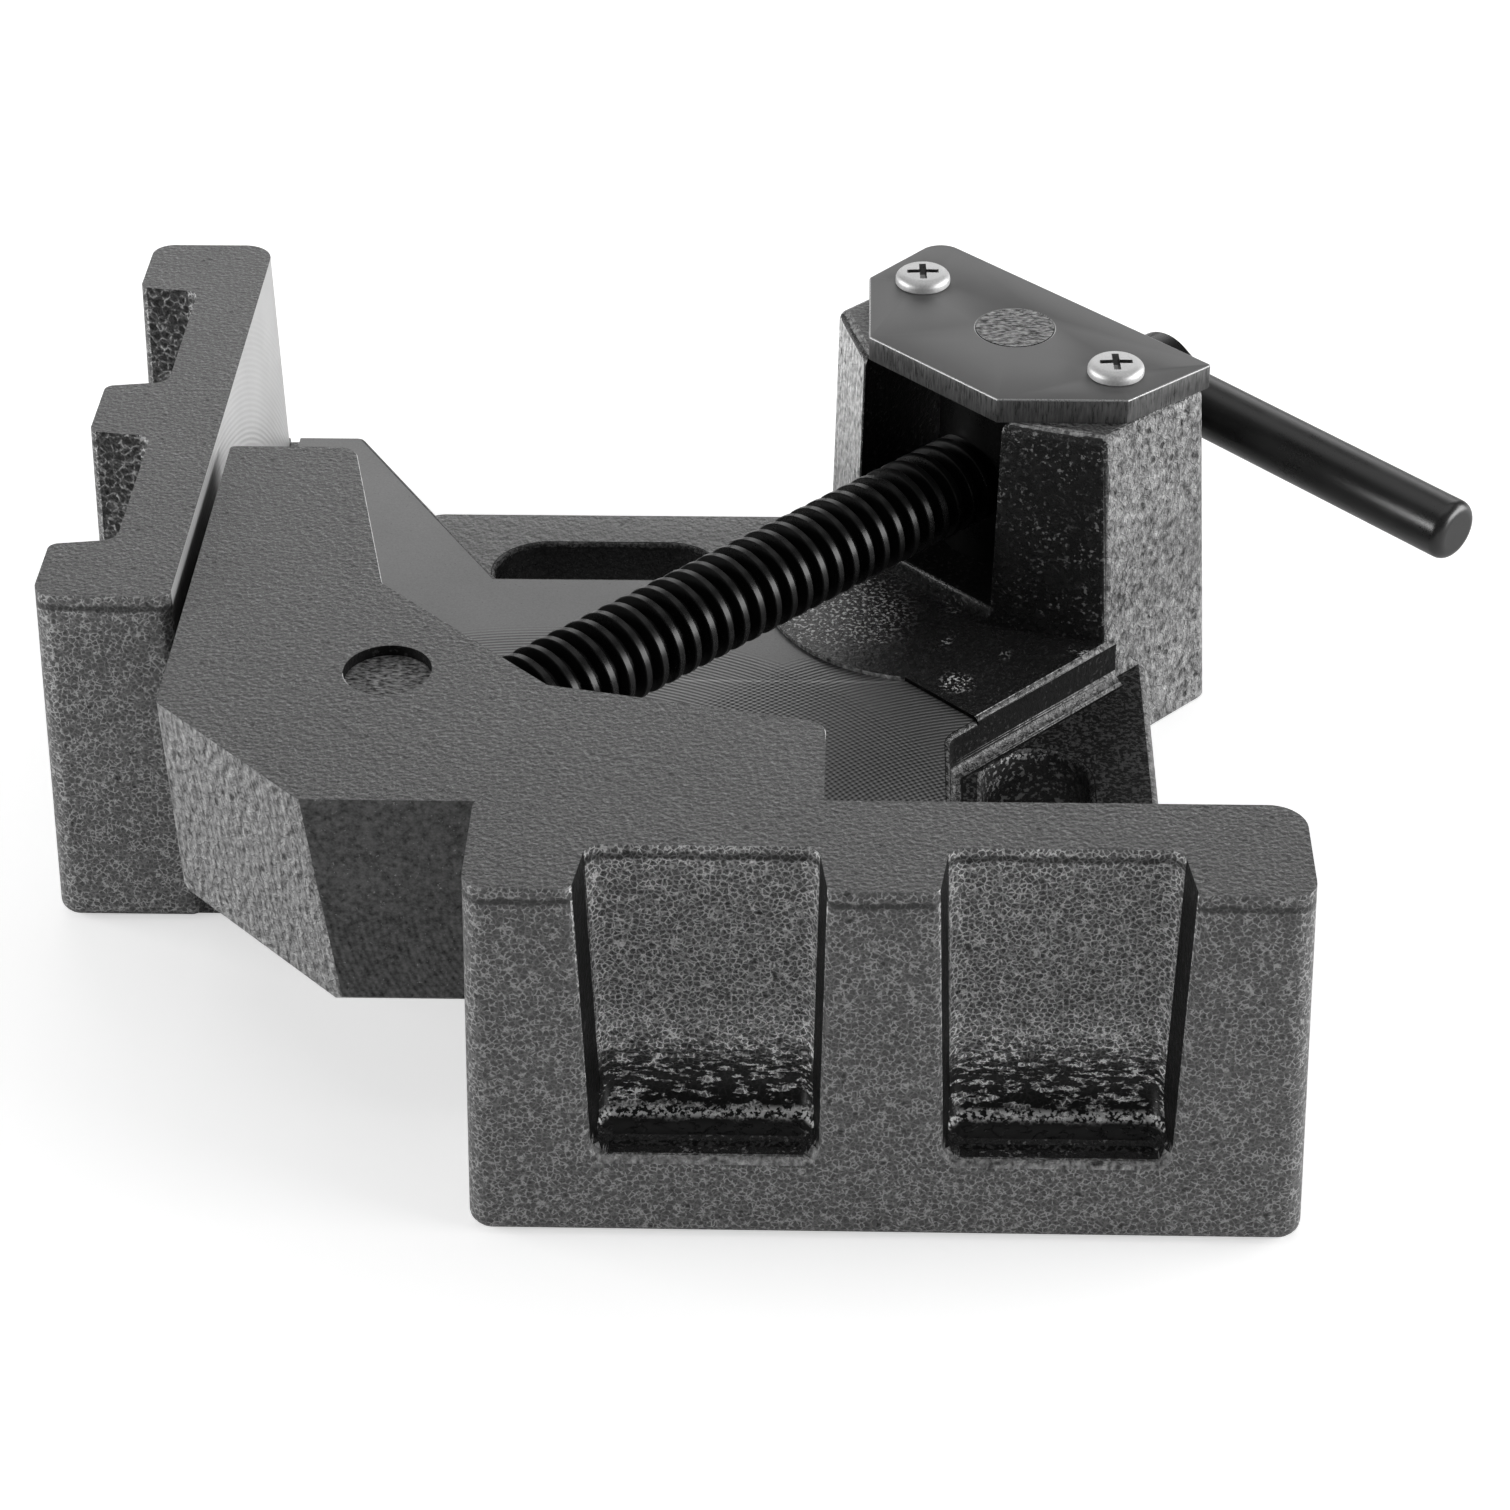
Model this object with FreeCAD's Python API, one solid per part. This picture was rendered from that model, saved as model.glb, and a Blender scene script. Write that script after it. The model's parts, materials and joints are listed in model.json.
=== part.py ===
import FreeCAD, Part
import math
import os

# A cast-iron corner clamp that holds two workpieces at a right angle.
# Millimetres, +Z up. The origin is the point at the level of the underside where the inner planes
# of the two fixed jaws would meet. The front jaw runs along +X, the side jaw runs along +Y, and the
# screw runs between them on the diagonal.
# Places near the screw are given as (along, across): along is measured from the origin down the
# diagonal, and across is positive on the side jaw's side.

# Fixed jaws
jawLength = 132.5
jawStart = 58.5
jawThickness = 24.2
jawHeight = 69.0
jawFaceDraft = 2.4
jawEndDraft = 1.8
jawRootWidth = 4.0
jawEdgeRound = 2.5
jawCornerRound = 4.0
freeCornerRound = 6.0
jawFootRound = 2.5

# Pockets in the outer faces of the jaws
pocketWidth = 40.0
pocketWebFromStart = 17.1
pocketWebBetween = 17.1
pocketDepth = 11.8
pocketFloorLevel = 15.9
pocketSideDraft = 1.7
pocketDepthDraft = 8.0
pocketFootRound = 9.0
pocketBackDraft = 1.6
pocketInnerRound = 3.0
pocketMouthRound = 1.8

# Floor, side flanges and the step up to the screw tower
floorLevel = 24.5
floorThickness = 10.0
floorCornerSum = 70.5
floorEdgeRound = 1.2
reliefWidth = 1.8
reliefDepth = 1.5
reliefUndercut = 0.4
wingWidth = 15.0
wingRootAcross = 47.7
flangeInner = 136.5
flangeWidth = 38.5
flangeLevel = 16.0
flangeCornerRound = 5.0
flangeEdgeRound = 1.6
flangeRootRound = 3.0
slotWidth = 20.0
slotLength = 44.5
slotSetOut = 16.0
slotCentreAlong = 68.1
slotRimRound = 1.2
footFlare = 3.0
padHeight = 0.8
padRound = 32.5
padAlong = 188.1
padShoulder = 162.0
stiffenerWidth = 9.0
skirtWidth = 8.0

# Screw tower
towerFront = 188.2
towerFrontFlare = 2.9
towerCheekFront = 198.0
towerBack = 226.6
towerBackFlare = 3.0
towerHalfWidth = 35.6
towerFrontHalfWidth = 18.5
towerSillHeight = 4.8
towerSillRound = 1.2
towerSlotHalfWidth = 18.0
towerFrontRound = 2.0
towerBackRound = 4.0
towerTopRound = 2.0

# Screw line
spindleHeight = 46.2
spindleRadius = 9.0
spindleJournalRadius = 6.0
spindleRearEnd = 260.5
spindleEndChamfer = 1.5
spindleRearChamfer = 4.5
runningClearance = 0.05

# Nut that turns on a vertical axis in the tower
nutAxis = 210.4
nutBodyRadius = 14.0
trunnionRadius = 7.5
nutFootDepth = 14.0

# Cover plate over the tower and its two screws
coverThickness = 5.0
coverFrontHalfWidth = 16.9
coverFront = 187.8
coverShoulder = 204.9
coverBack = 226.3
coverHalfWidth = 34.1
coverBackHalfWidth = 35.8
coverCornerRound = 4.5
coverScrewAlong = 211.0
coverScrewAcross = 25.4
coverScrewRadius = 2.5
coverScrewLength = 16.0
coverScrewHeadRadius = 5.35
coverScrewHeadHeight = 2.5

# Moving jaw
jawGap = 2.2
blockHeight = 41.8
blockLift = 0.3
blockChamferSum = 31.8
blockReach = 114.5
blockArmWidth = 25.6
blockBack = 73.1
blockBackHalfWidth = 22.3
blockDraft = 4.0
blockEndRound = 4.0
blockNoseRound = 1.5
blockEdgeRound = 0.8
blockFootChamfer = 1.2

# Swivel inside the moving jaw, with its keeper plate below
swivelAxis = 56.5
swivelBodyRadius = 12.0
swivelFlat = 10.5
swivelTopSink = 2.0
swivelHeadRoom = 6.6
swivelRoom = 1.0
spindleWindowHalfWidth = 11.0
spindleWindowHalfHeight = 10.0
keeperThickness = 4.0
keeperHalfLength = 20.0
keeperHalfWidth = 21.0
keeperCornerRound = 5.0
keeperRearWall = 4.0
keeperFit = 0.15
keeperScrewInset = 5.5
keeperScrewRadius = 2.0
keeperScrewLength = 12.0
keeperScrewHeadRadius = 3.8
keeperScrewHeadHeight = 2.2

# Washers and ring that hold the screw's journal in the swivel
washerRadius = 8.6
rearWasherThickness = 1.5
frontWasherThickness = 1.2
ringRadius = 8.0
ringThickness = 1.2
ringGrooveRadius = 5.4
journalEndSpare = 1.2
axialPlay = 0.1

# Sliding handle bar through the rear end of the screw
barRadius = 6.0
barLength = 120.0
barAlong = 252.5
barShift = 17.0
barTilt = 1.8
barEndRound = 2.2

# Worked out from the sizes above
jawEnd = jawStart + jawLength
footHalfWidth = towerHalfWidth + footFlare
flangeOuter = flangeInner + flangeWidth
slotCentreOut = flangeInner + slotSetOut
jawFaceFlare = jawHeight * math.tan(math.radians(jawFaceDraft))
jawEndFlare = jawHeight * math.tan(math.radians(jawEndDraft))
floorUnderside = floorLevel - floorThickness
coverTop = jawHeight + coverThickness
blockBottom = floorLevel + blockLift
blockTop = blockBottom + blockHeight
sillLevel = floorLevel + towerSillHeight
blockInset = blockHeight * math.tan(math.radians(blockDraft))
trunnionHole = trunnionRadius + runningClearance
threadHole = spindleRadius + runningClearance
swivelBottom = blockBottom + keeperThickness
swivelTop = blockTop - swivelHeadRoom
journalFront = swivelAxis - swivelFlat
overlap = 2.0
diagonal = math.sqrt(0.5)


def vec(x, y, z=0.0):
    return FreeCAD.Vector(x, y, z)


def spot(along, across):
    """Plan position of a point given along and across the screw's diagonal."""
    return ((along - across) * diagonal, (along + across) * diagonal)


def roundedWire(corners, level):
    """Closed outline at one level; each corner is (x, y, radius)."""
    count = len(corners)
    starts, middles, ends = [], [], []
    for index in range(count):
        x, y, radius = corners[index]
        here = vec(x, y, level)
        before = vec(corners[index - 1][0], corners[index - 1][1], level)
        after = vec(corners[(index + 1) % count][0], corners[(index + 1) % count][1], level)
        toBefore = (before - here).normalize()
        toAfter = (after - here).normalize()
        half = toBefore.getAngle(toAfter) / 2
        reach = radius / math.tan(half)
        bisector = (toBefore + toAfter).normalize()
        starts.append(here + toBefore * reach)
        ends.append(here + toAfter * reach)
        middles.append(here + bisector * (radius / math.sin(half) - radius))
    edges = []
    for index in range(count):
        if corners[index][2] > 0:
            edges.append(Part.Arc(starts[index], middles[index], ends[index]).toShape())
        edges.append(Part.LineSegment(ends[index], starts[(index + 1) % count]).toShape())
    return Part.Wire(edges)


def slab(corners, low, high):
    """Upright solid on a rounded outline."""
    return Part.Face(roundedWire(corners, low)).extrude(vec(0, 0, high - low))


def drafted(lowCorners, highCorners, low, high):
    """Solid whose outline changes evenly from one level to another."""
    return Part.makeLoft([roundedWire(lowCorners, low), roundedWire(highCorners, high)], True, True)


def prism(points, run):
    """Solid from a closed flat outline, pushed along one direction."""
    return Part.Face(Part.makePolygon(points + [points[0]])).extrude(run)


def diagonalCorners(points):
    """Corners in plan from (along, across, radius)."""
    return [spot(along, across) + (radius,) for along, across, radius in points]


def bothSides(points):
    """Adds the mirror image of points given on the front jaw's side, going round the outline."""
    return points + [(along, -across, radius) for along, across, radius in reversed(points)]


def across45(shape):
    """Mirror image on the other side of the diagonal plane."""
    return shape.mirror(vec(0, 0, 0), vec(1, -1, 0))


def alongScrew(radius, start, end, height=None):
    """Cylinder on the screw's line."""
    level = spindleHeight if height is None else height
    x, y = spot(start, 0)
    return Part.makeCylinder(radius, end - start, vec(x, y, level), vec(1, 1, 0))


def upright(radius, along, across, low, high):
    """Cylinder standing at a place given along and across the diagonal."""
    x, y = spot(along, across)
    return Part.makeCylinder(radius, high - low, vec(x, y, low))


def turned(profile, along, across):
    """Solid of revolution about an upright axis; profile is a list of (radius, level)."""
    points = [vec(radius, 0, level) for radius, level in profile]
    face = Part.Face(Part.makePolygon(points + [points[0]]))
    solid = face.revolve(vec(0, 0, 0), vec(0, 0, 1), 360)
    x, y = spot(along, across)
    solid.translate(vec(x, y))
    return solid


def jawBlock():
    """Front jaw, upright on its inner face, drafted on the outer face and both ends."""
    outer = -jawThickness - jawFaceFlare
    start, end = jawStart - jawEndFlare, jawEnd + jawEndFlare
    lengthwise = prism([
        vec(start, outer, 0), vec(end, outer, 0), vec(jawEnd, outer, jawHeight), vec(jawStart, outer, jawHeight),
    ], vec(0, -outer, 0))
    crosswise = prism([
        vec(start, 0, 0), vec(start, outer, 0), vec(start, -jawThickness, jawHeight), vec(start, 0, jawHeight),
    ], vec(end - start, 0, 0))
    block = lengthwise.common(crosswise)
    block = block.makeFillet(jawCornerRound, uprightEdges(block, False, False) + uprightEdges(block, False, True))
    block = block.makeFillet(freeCornerRound, uprightEdges(block, True, True))
    block = block.makeFillet(jawEdgeRound, uprightEdges(block, True, False))
    footEdges = [edge for edge in block.Edges if edge.BoundBox.ZMax < 0.01 and edge.BoundBox.YMin < -jawEdgeRound]
    return block.makeFillet(jawFootRound, footEdges)


def uprightEdges(block, inner, far):
    """Sharp upright edges of the jaw on its inner or outer side, at its far or near end."""
    chosen = []
    for edge in block.Edges:
        middle = edge.valueAt((edge.FirstParameter + edge.LastParameter) / 2)
        tall = edge.BoundBox.ZMax - edge.BoundBox.ZMin > jawHeight / 2
        onInner = middle.y > -jawEdgeRound
        atFar = middle.x > (jawStart + jawEnd) / 2
        if tall and onInner == inner and atFar == far:
            chosen.append(edge)
    return chosen


def pocketTool(start):
    """Hollow in the outer face: sloping back wall, round foot, sides that close in with depth."""
    outer = -jawThickness
    outside = outer - jawFaceFlare - overlap
    back = outer + pocketDepth
    backLean = (jawHeight - pocketFloorLevel) * math.tan(math.radians(pocketBackDraft))
    foot = back - backLean
    top = jawHeight + overlap
    arcMiddle = pocketFootRound * (1 - diagonal)
    footArc = Part.Arc(
        vec(0, foot, pocketFloorLevel + pocketFootRound),
        vec(0, foot - arcMiddle, pocketFloorLevel + arcMiddle),
        vec(0, foot - pocketFootRound, pocketFloorLevel),
    ).toShape()
    section = Part.Wire([
        Part.LineSegment(vec(0, outside, top), vec(0, back, top)).toShape(),
        Part.LineSegment(vec(0, back, top), vec(0, foot, pocketFloorLevel + pocketFootRound)).toShape(),
        footArc,
        Part.LineSegment(vec(0, foot - pocketFootRound, pocketFloorLevel), vec(0, outside, pocketFloorLevel)).toShape(),
        Part.LineSegment(vec(0, outside, pocketFloorLevel), vec(0, outside, top)).toShape(),
    ])
    trough = Part.Face(section).extrude(vec(pocketWidth + 4 * overlap, 0, 0))
    trough.translate(vec(start - 2 * overlap, 0, 0))

    def mouth(y):
        inset = (y - outer) * math.tan(math.radians(pocketDepthDraft))
        low = pocketFloorLevel - overlap
        lean = (top - low) * math.tan(math.radians(pocketSideDraft))
        points = [
            vec(start + inset, y, top),
            vec(start + pocketWidth - inset, y, top),
            vec(start + pocketWidth - inset - lean, y, low),
            vec(start + inset + lean, y, low),
        ]
        return Part.makePolygon(points + [points[0]])
    sides = Part.makeLoft([mouth(outside), mouth(back + overlap)], True, True)
    tool = trough.common(sides)
    corners = [edge for edge in tool.Edges if meetsSide(tool, edge)]
    return tool.makeFillet(pocketInnerRound, corners)


def meetsSide(tool, edge):
    """True where a side of the pocket meets its back, foot or floor."""
    sides, inner = 0, 0
    for face in tool.ancestorsOfType(edge, Part.Face):
        u0, u1, v0, v1 = face.ParameterRange
        normal = face.normalAt((u0 + u1) / 2, (v0 + v1) / 2)
        if abs(normal.x) > 0.9:
            sides += 1
        elif normal.y > -0.9 and normal.z < 0.9:
            inner += 1
    return sides == 1 and inner == 1


def fixedJaw():
    """One jaw with its two pockets, built as the front jaw."""
    jaw = jawBlock()
    firstPocket = jawStart + pocketWebFromStart
    secondPocket = firstPocket + pocketWidth + pocketWebBetween
    for start in (firstPocket, secondPocket):
        jaw = jaw.cut(pocketTool(start))
    mouths = [edge for edge in jaw.Edges if onMouth(edge, firstPocket) or onMouth(edge, secondPocket)]
    return jaw.makeFillet(pocketMouthRound, mouths)


def onMouth(edge, start):
    """True for an edge where a pocket opens in the jaw's outer face, below the top."""
    middle = edge.valueAt((edge.FirstParameter + edge.LastParameter) / 2)
    outer = -jawThickness - jawFaceFlare * (1 - middle.z / jawHeight)
    beside = start - overlap < middle.x < start + pocketWidth + overlap
    return beside and abs(middle.y - outer) < 0.01 and pocketFloorLevel - 1 < middle.z < jawHeight - 1


def wedgeEdge(x):
    """Sloping front edge of the flange: the value of y at x."""
    slope = (wingRootAcross - wingWidth) / (flangeInner - jawEnd)
    return wingWidth + slope * (x - jawEnd)


def floorSlab():
    """Machined floor between the jaws, cut off at the corner and narrowed to wings at the ends."""
    sideStep = footHalfWidth / diagonal
    half = [
        (floorCornerSum + overlap, -overlap, 0),
        (jawEnd, -overlap, 0),
        (jawEnd, wingWidth, 2.0),
        (flangeInner, wingRootAcross, 0),
        (flangeInner, flangeInner - sideStep, 4.0),
    ]
    tail = spot(towerCheekFront + overlap, -footHalfWidth) + (0,)
    front = half + [tail]
    back = [(y, x, radius) for x, y, radius in reversed(front)]
    plate = slab(front + back, floorUnderside, floorLevel)
    return plate.makeFillet(floorEdgeRound, [edge for edge in plate.Edges if onFloorRim(edge)])


def onFloorRim(edge):
    """True for the floor's upper rim beside the flanges, and not at the corner or under the tower."""
    middle = edge.valueAt((edge.FirstParameter + edge.LastParameter) / 2)
    atTop = edge.BoundBox.ZMin > floorLevel - 0.01
    clearOfCorner = middle.x + middle.y > floorCornerSum + 2 * overlap
    clearOfTower = middle.x + middle.y < 2 * towerCheekFront * diagonal
    return atTop and clearOfCorner and clearOfTower and max(middle.x, middle.y) > jawEnd / 2


def flange():
    """Low flange beside the floor, with a long slot for a holding-down bolt."""
    sideStep = footHalfWidth / diagonal
    inner = flangeInner - skirtWidth
    corners = [
        (inner, wedgeEdge(inner), 0),
        (flangeOuter, wedgeEdge(flangeOuter), flangeCornerRound),
        (flangeOuter, flangeOuter - sideStep + overlap, 0),
        (inner, inner - sideStep + overlap, 0),
    ]
    plate = slab(corners, 0, flangeLevel)
    halfStraight = (slotLength - slotWidth) / 2
    radius = slotWidth / 2
    slotCorners = [
        (slotCentreOut - radius, slotCentreAlong - halfStraight - radius, radius * 0.999),
        (slotCentreOut + radius, slotCentreAlong - halfStraight - radius, radius * 0.999),
        (slotCentreOut + radius, slotCentreAlong + halfStraight + radius, radius * 0.999),
        (slotCentreOut - radius, slotCentreAlong + halfStraight + radius, radius * 0.999),
    ]
    plate = plate.cut(slab(slotCorners, -overlap, flangeLevel + overlap))
    rims = [edge for edge in plate.Edges if edge.BoundBox.ZMin > flangeLevel - 0.01]
    slotRim = [edge for edge in rims if nearSlot(edge)]
    plate = plate.makeFillet(slotRimRound, slotRim)
    outer = [edge for edge in plate.Edges if edge.BoundBox.ZMin > flangeLevel - 0.01 and onOuterRim(edge)]
    return plate.makeFillet(flangeEdgeRound, outer)


def nearSlot(edge):
    """True for an edge of the flange's slot."""
    box = edge.BoundBox
    across = max(abs(box.XMin - slotCentreOut), abs(box.XMax - slotCentreOut))
    lengthwise = max(abs(box.YMin - slotCentreAlong), abs(box.YMax - slotCentreAlong))
    return across < slotWidth / 2 + 0.01 and lengthwise < slotLength / 2 + 0.01


def onOuterRim(edge):
    """True for the flange's rim on its outer side, its sloping front and the corner between."""
    middle = edge.valueAt((edge.FirstParameter + edge.LastParameter) / 2)
    outside = middle.x > flangeOuter - 0.01
    front = middle.y < wedgeEdge(middle.x) + 0.01 and middle.x > flangeInner - skirtWidth + 0.01
    corner = middle.x > flangeOuter - flangeCornerRound and middle.y < wedgeEdge(flangeOuter) + flangeCornerRound
    return outside or front or corner


def towerBody():
    """Two cheeks on a sill, from the underside to the top, with a slot right through for the screw."""
    def corners(frontFlare, sideFlare, backFlare):
        return diagonalCorners(bothSides([
            (towerFront - frontFlare, -towerFrontHalfWidth, 0),
            (towerCheekFront, -towerHalfWidth - sideFlare, towerFrontRound),
            (towerBack + backFlare, -towerHalfWidth - sideFlare, towerBackRound),
        ]))
    body = drafted(corners(towerFrontFlare, footFlare, towerBackFlare), corners(0, 0, 0), 0, jawHeight)
    rim = [edge for edge in body.Edges if edge.BoundBox.ZMin > jawHeight - 0.01]
    body = body.makeFillet(towerTopRound, rim)
    slot = slab(diagonalCorners(bothSides([
        (towerFront - towerFrontFlare - overlap, -towerSlotHalfWidth, 0),
        (towerBack + towerBackFlare + overlap, -towerSlotHalfWidth, 0),
    ])), sillLevel, jawHeight + overlap)
    body = body.cut(slot)
    sillEdges = [edge for edge in body.Edges if onSillEdge(edge)]
    return body.makeFillet(towerSillRound, sillEdges)


def onSillEdge(edge):
    """True for the front and rear edges of the sill between the cheeks."""
    box = edge.BoundBox
    middle = edge.valueAt((edge.FirstParameter + edge.LastParameter) / 2)
    centred = abs(middle.y - middle.x) * diagonal < 1
    return centred and abs(box.ZMin - sillLevel) < 0.01 and abs(box.ZMax - sillLevel) < 0.01


def towerFoot():
    """Solid root in front of the tower, from the underside up to the floor."""
    return slab(diagonalCorners(bothSides([
        (towerFront - footHalfWidth / 2, -footHalfWidth, 0),
        (towerCheekFront + overlap, -footHalfWidth, 0),
    ])), 0, floorLevel)


def castPad():
    """Raised pad round the tower, which the mill that cut the floor left standing."""
    disc = upright(padRound, padAlong, 0, floorLevel - overlap, floorLevel + padHeight)
    shoulders = slab(diagonalCorners(bothSides([
        (padShoulder, -footHalfWidth, 0),
        (towerCheekFront + overlap, -footHalfWidth, 0),
    ])), floorLevel - overlap, floorLevel + padHeight)
    sides = [edge for edge in shoulders.Edges if edge.Length > footHalfWidth / 2 and onPadSide(edge)]
    return disc.fuse(shoulders.makeFillet(floorEdgeRound, sides))


def onPadSide(edge):
    """True for the upper edges of the pad that run beside the screw."""
    middle = edge.valueAt((edge.FirstParameter + edge.LastParameter) / 2)
    across = abs(middle.y - middle.x) * diagonal
    return edge.BoundBox.ZMin > floorLevel + padHeight - 0.01 and across > footHalfWidth - 0.01


def flangeRoot():
    """Concave root where the flange meets the step up to the floor."""
    radius = flangeRootRound
    turn = flangeInner - footHalfWidth / diagonal
    low, high = flangeLevel - floorEdgeRound, flangeLevel + radius
    straight = slab([
        (flangeInner - overlap, wedgeEdge(flangeInner - overlap), 0),
        (flangeInner + radius, wedgeEdge(flangeInner + radius), 0),
        (flangeInner + radius, turn + radius, 0),
        (flangeInner - overlap, turn, 0),
    ], low, high)
    roll = Part.makeCylinder(radius, flangeInner, vec(flangeInner + radius, 0, high), vec(0, 1, 0))
    bend = flangeInner / diagonal - footHalfWidth
    end = towerCheekFront + overlap
    slanted = slab(diagonalCorners([
        (bend - radius, -footHalfWidth - radius, 0),
        (end, -footHalfWidth - radius, 0),
        (end, -footHalfWidth + overlap, 0),
        (bend + overlap, -footHalfWidth + overlap, 0),
    ]), low, high)
    x, y = spot(bend - 2 * radius, -footHalfWidth - radius)
    slantedRoll = Part.makeCylinder(radius, end - bend + 4 * radius, vec(x, y, high), vec(1, 1, 0))
    return [straight.cut(roll), slanted.cut(slantedRoll)]


def underside():
    """Skirts and stiffeners under the floor; the corner side stays open."""
    side = footHalfWidth / diagonal
    skirt = slab([
        (flangeInner - skirtWidth, wedgeEdge(flangeInner), 0),
        (flangeInner, wedgeEdge(flangeInner), 0),
        (flangeInner, flangeInner - side + overlap, 0),
        (flangeInner - skirtWidth, flangeInner - side + overlap, 0),
    ], 0, floorUnderside + overlap)
    rib = slab([
        (flangeInner - overlap, -overlap, 0),
        (flangeInner + stiffenerWidth, -overlap, 0),
        (flangeInner + stiffenerWidth, wedgeEdge(flangeInner + stiffenerWidth), 0),
        (flangeInner - overlap, wedgeEdge(flangeInner - overlap), 0),
    ], 0, floorUnderside + overlap)
    spine = slab(diagonalCorners(bothSides([
        (floorCornerSum * diagonal + overlap, -stiffenerWidth / 2, 0),
        (towerFront, -stiffenerWidth / 2, 0),
    ])), floorUnderside / 2, floorUnderside + overlap)
    root = slab([
        (jawStart, -overlap, 0),
        (jawEnd - overlap, -overlap, 0),
        (jawEnd - overlap, jawRootWidth, 1.0),
        (jawStart, jawRootWidth, 1.0),
    ], 0, floorUnderside + overlap)
    return [skirt, across45(skirt), rib, across45(rib), spine, root, across45(root)]


def reliefTool():
    """Groove at the root of the front jaw, slightly under the jaw, so that a workpiece seats square."""
    return Part.makeBox(jawLength + 4 * overlap, reliefWidth + reliefUndercut, reliefDepth + reliefUndercut,
                        vec(jawStart - 2 * overlap, -reliefUndercut, floorLevel - reliefDepth))


def frameCasting():
    frontJaw = fixedJaw()
    sideJaw = across45(frontJaw)
    nearFlange = flange()
    roots = flangeRoot()
    roots += [across45(root) for root in roots]
    pieces = [sideJaw, floorSlab(), nearFlange, across45(nearFlange), towerFoot(), castPad(), towerBody()] + roots
    casting = frontJaw.multiFuse(pieces + underside())
    relief = reliefTool()
    casting = casting.cut(relief).cut(across45(relief))
    casting = casting.cut(upright(trunnionHole, nutAxis, 0, sillLevel - nutFootDepth, sillLevel + overlap))
    for side in (-1, 1):
        depth = coverScrewLength - coverThickness + overlap
        hole = upright(coverScrewRadius + runningClearance, coverScrewAlong, side * coverScrewAcross,
                       jawHeight - depth, jawHeight + overlap)
        casting = casting.cut(hole)
    return casting.removeSplitter()


def trunnionNut():
    """Round nut that turns on its two trunnions, one in the sill and one in the cover plate."""
    gap = 0.2
    body = turned([
        (0, sillLevel - nutFootDepth + gap),
        (trunnionRadius, sillLevel - nutFootDepth + gap),
        (trunnionRadius, sillLevel + gap),
        (nutBodyRadius, sillLevel + gap),
        (nutBodyRadius, jawHeight - gap),
        (trunnionRadius, jawHeight - gap),
        (trunnionRadius, coverTop),
        (0, coverTop),
    ], nutAxis, 0)
    return body.cut(alongScrew(threadHole, nutAxis - nutBodyRadius - overlap, nutAxis + nutBodyRadius + overlap))


def coverPlate():
    """Steel plate over the tower, with the nut's upper trunnion in its middle hole."""
    outline = diagonalCorners([
        (coverFront, -coverFrontHalfWidth, 0.5),
        (coverShoulder, -coverHalfWidth, 0.5),
        (coverBack, -coverBackHalfWidth, 0.5),
        (coverBack, coverBackHalfWidth, coverCornerRound),
        (coverShoulder, coverHalfWidth, 0.5),
        (coverFront, coverFrontHalfWidth, 0.5),
    ])
    plate = slab(outline, jawHeight, coverTop)
    plate = plate.cut(upright(trunnionHole, nutAxis, 0, jawHeight - overlap, coverTop + overlap))
    for side in (-1, 1):
        plate = plate.cut(upright(coverScrewRadius + 0.25, coverScrewAlong, side * coverScrewAcross,
                                  jawHeight - overlap, coverTop + overlap))
    return plate


def coverScrew(side):
    """Pan-head screw that holds the cover plate to one cheek."""
    rim = coverScrewHeadHeight * 0.45
    profile = [
        (0, coverTop - coverScrewLength),
        (coverScrewRadius - 0.5, coverTop - coverScrewLength),
        (coverScrewRadius, coverTop - coverScrewLength + 0.5),
        (coverScrewRadius, coverTop),
        (coverScrewHeadRadius, coverTop),
        (coverScrewHeadRadius, coverTop + rim),
        (coverScrewHeadRadius * 0.88, coverTop + coverScrewHeadHeight * 0.85),
        (coverScrewHeadRadius * 0.6, coverTop + coverScrewHeadHeight),
        (0, coverTop + coverScrewHeadHeight),
    ]
    return turned(profile, coverScrewAlong, side * coverScrewAcross)


def blockOutline(inset):
    """Outline of the moving jaw: two clamping faces, a cut-off nose, two arms and a flat back."""
    backX, backY = spot(blockBack - inset, -blockBackHalfWidth)
    front = [
        (blockChamferSum + inset / diagonal - jawGap, jawGap, blockNoseRound),
        (blockReach - inset, jawGap, blockEdgeRound),
        (blockReach - inset, blockArmWidth - inset, blockEndRound),
        (backX, backY, blockNoseRound),
    ]
    back = [(y, x, radius) for x, y, radius in reversed(front)]
    return front + back


def footChamferTool():
    """Wedge that breaks the lower edge of the front clamping face of the moving jaw."""
    face = jawGap - overlap
    low = blockBottom - overlap
    leg = blockFootChamfer + 2 * overlap
    outline = [vec(0, face, low), vec(0, face + leg, low), vec(0, face, low + leg)]
    return prism(outline, vec(blockReach + overlap, 0))


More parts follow.
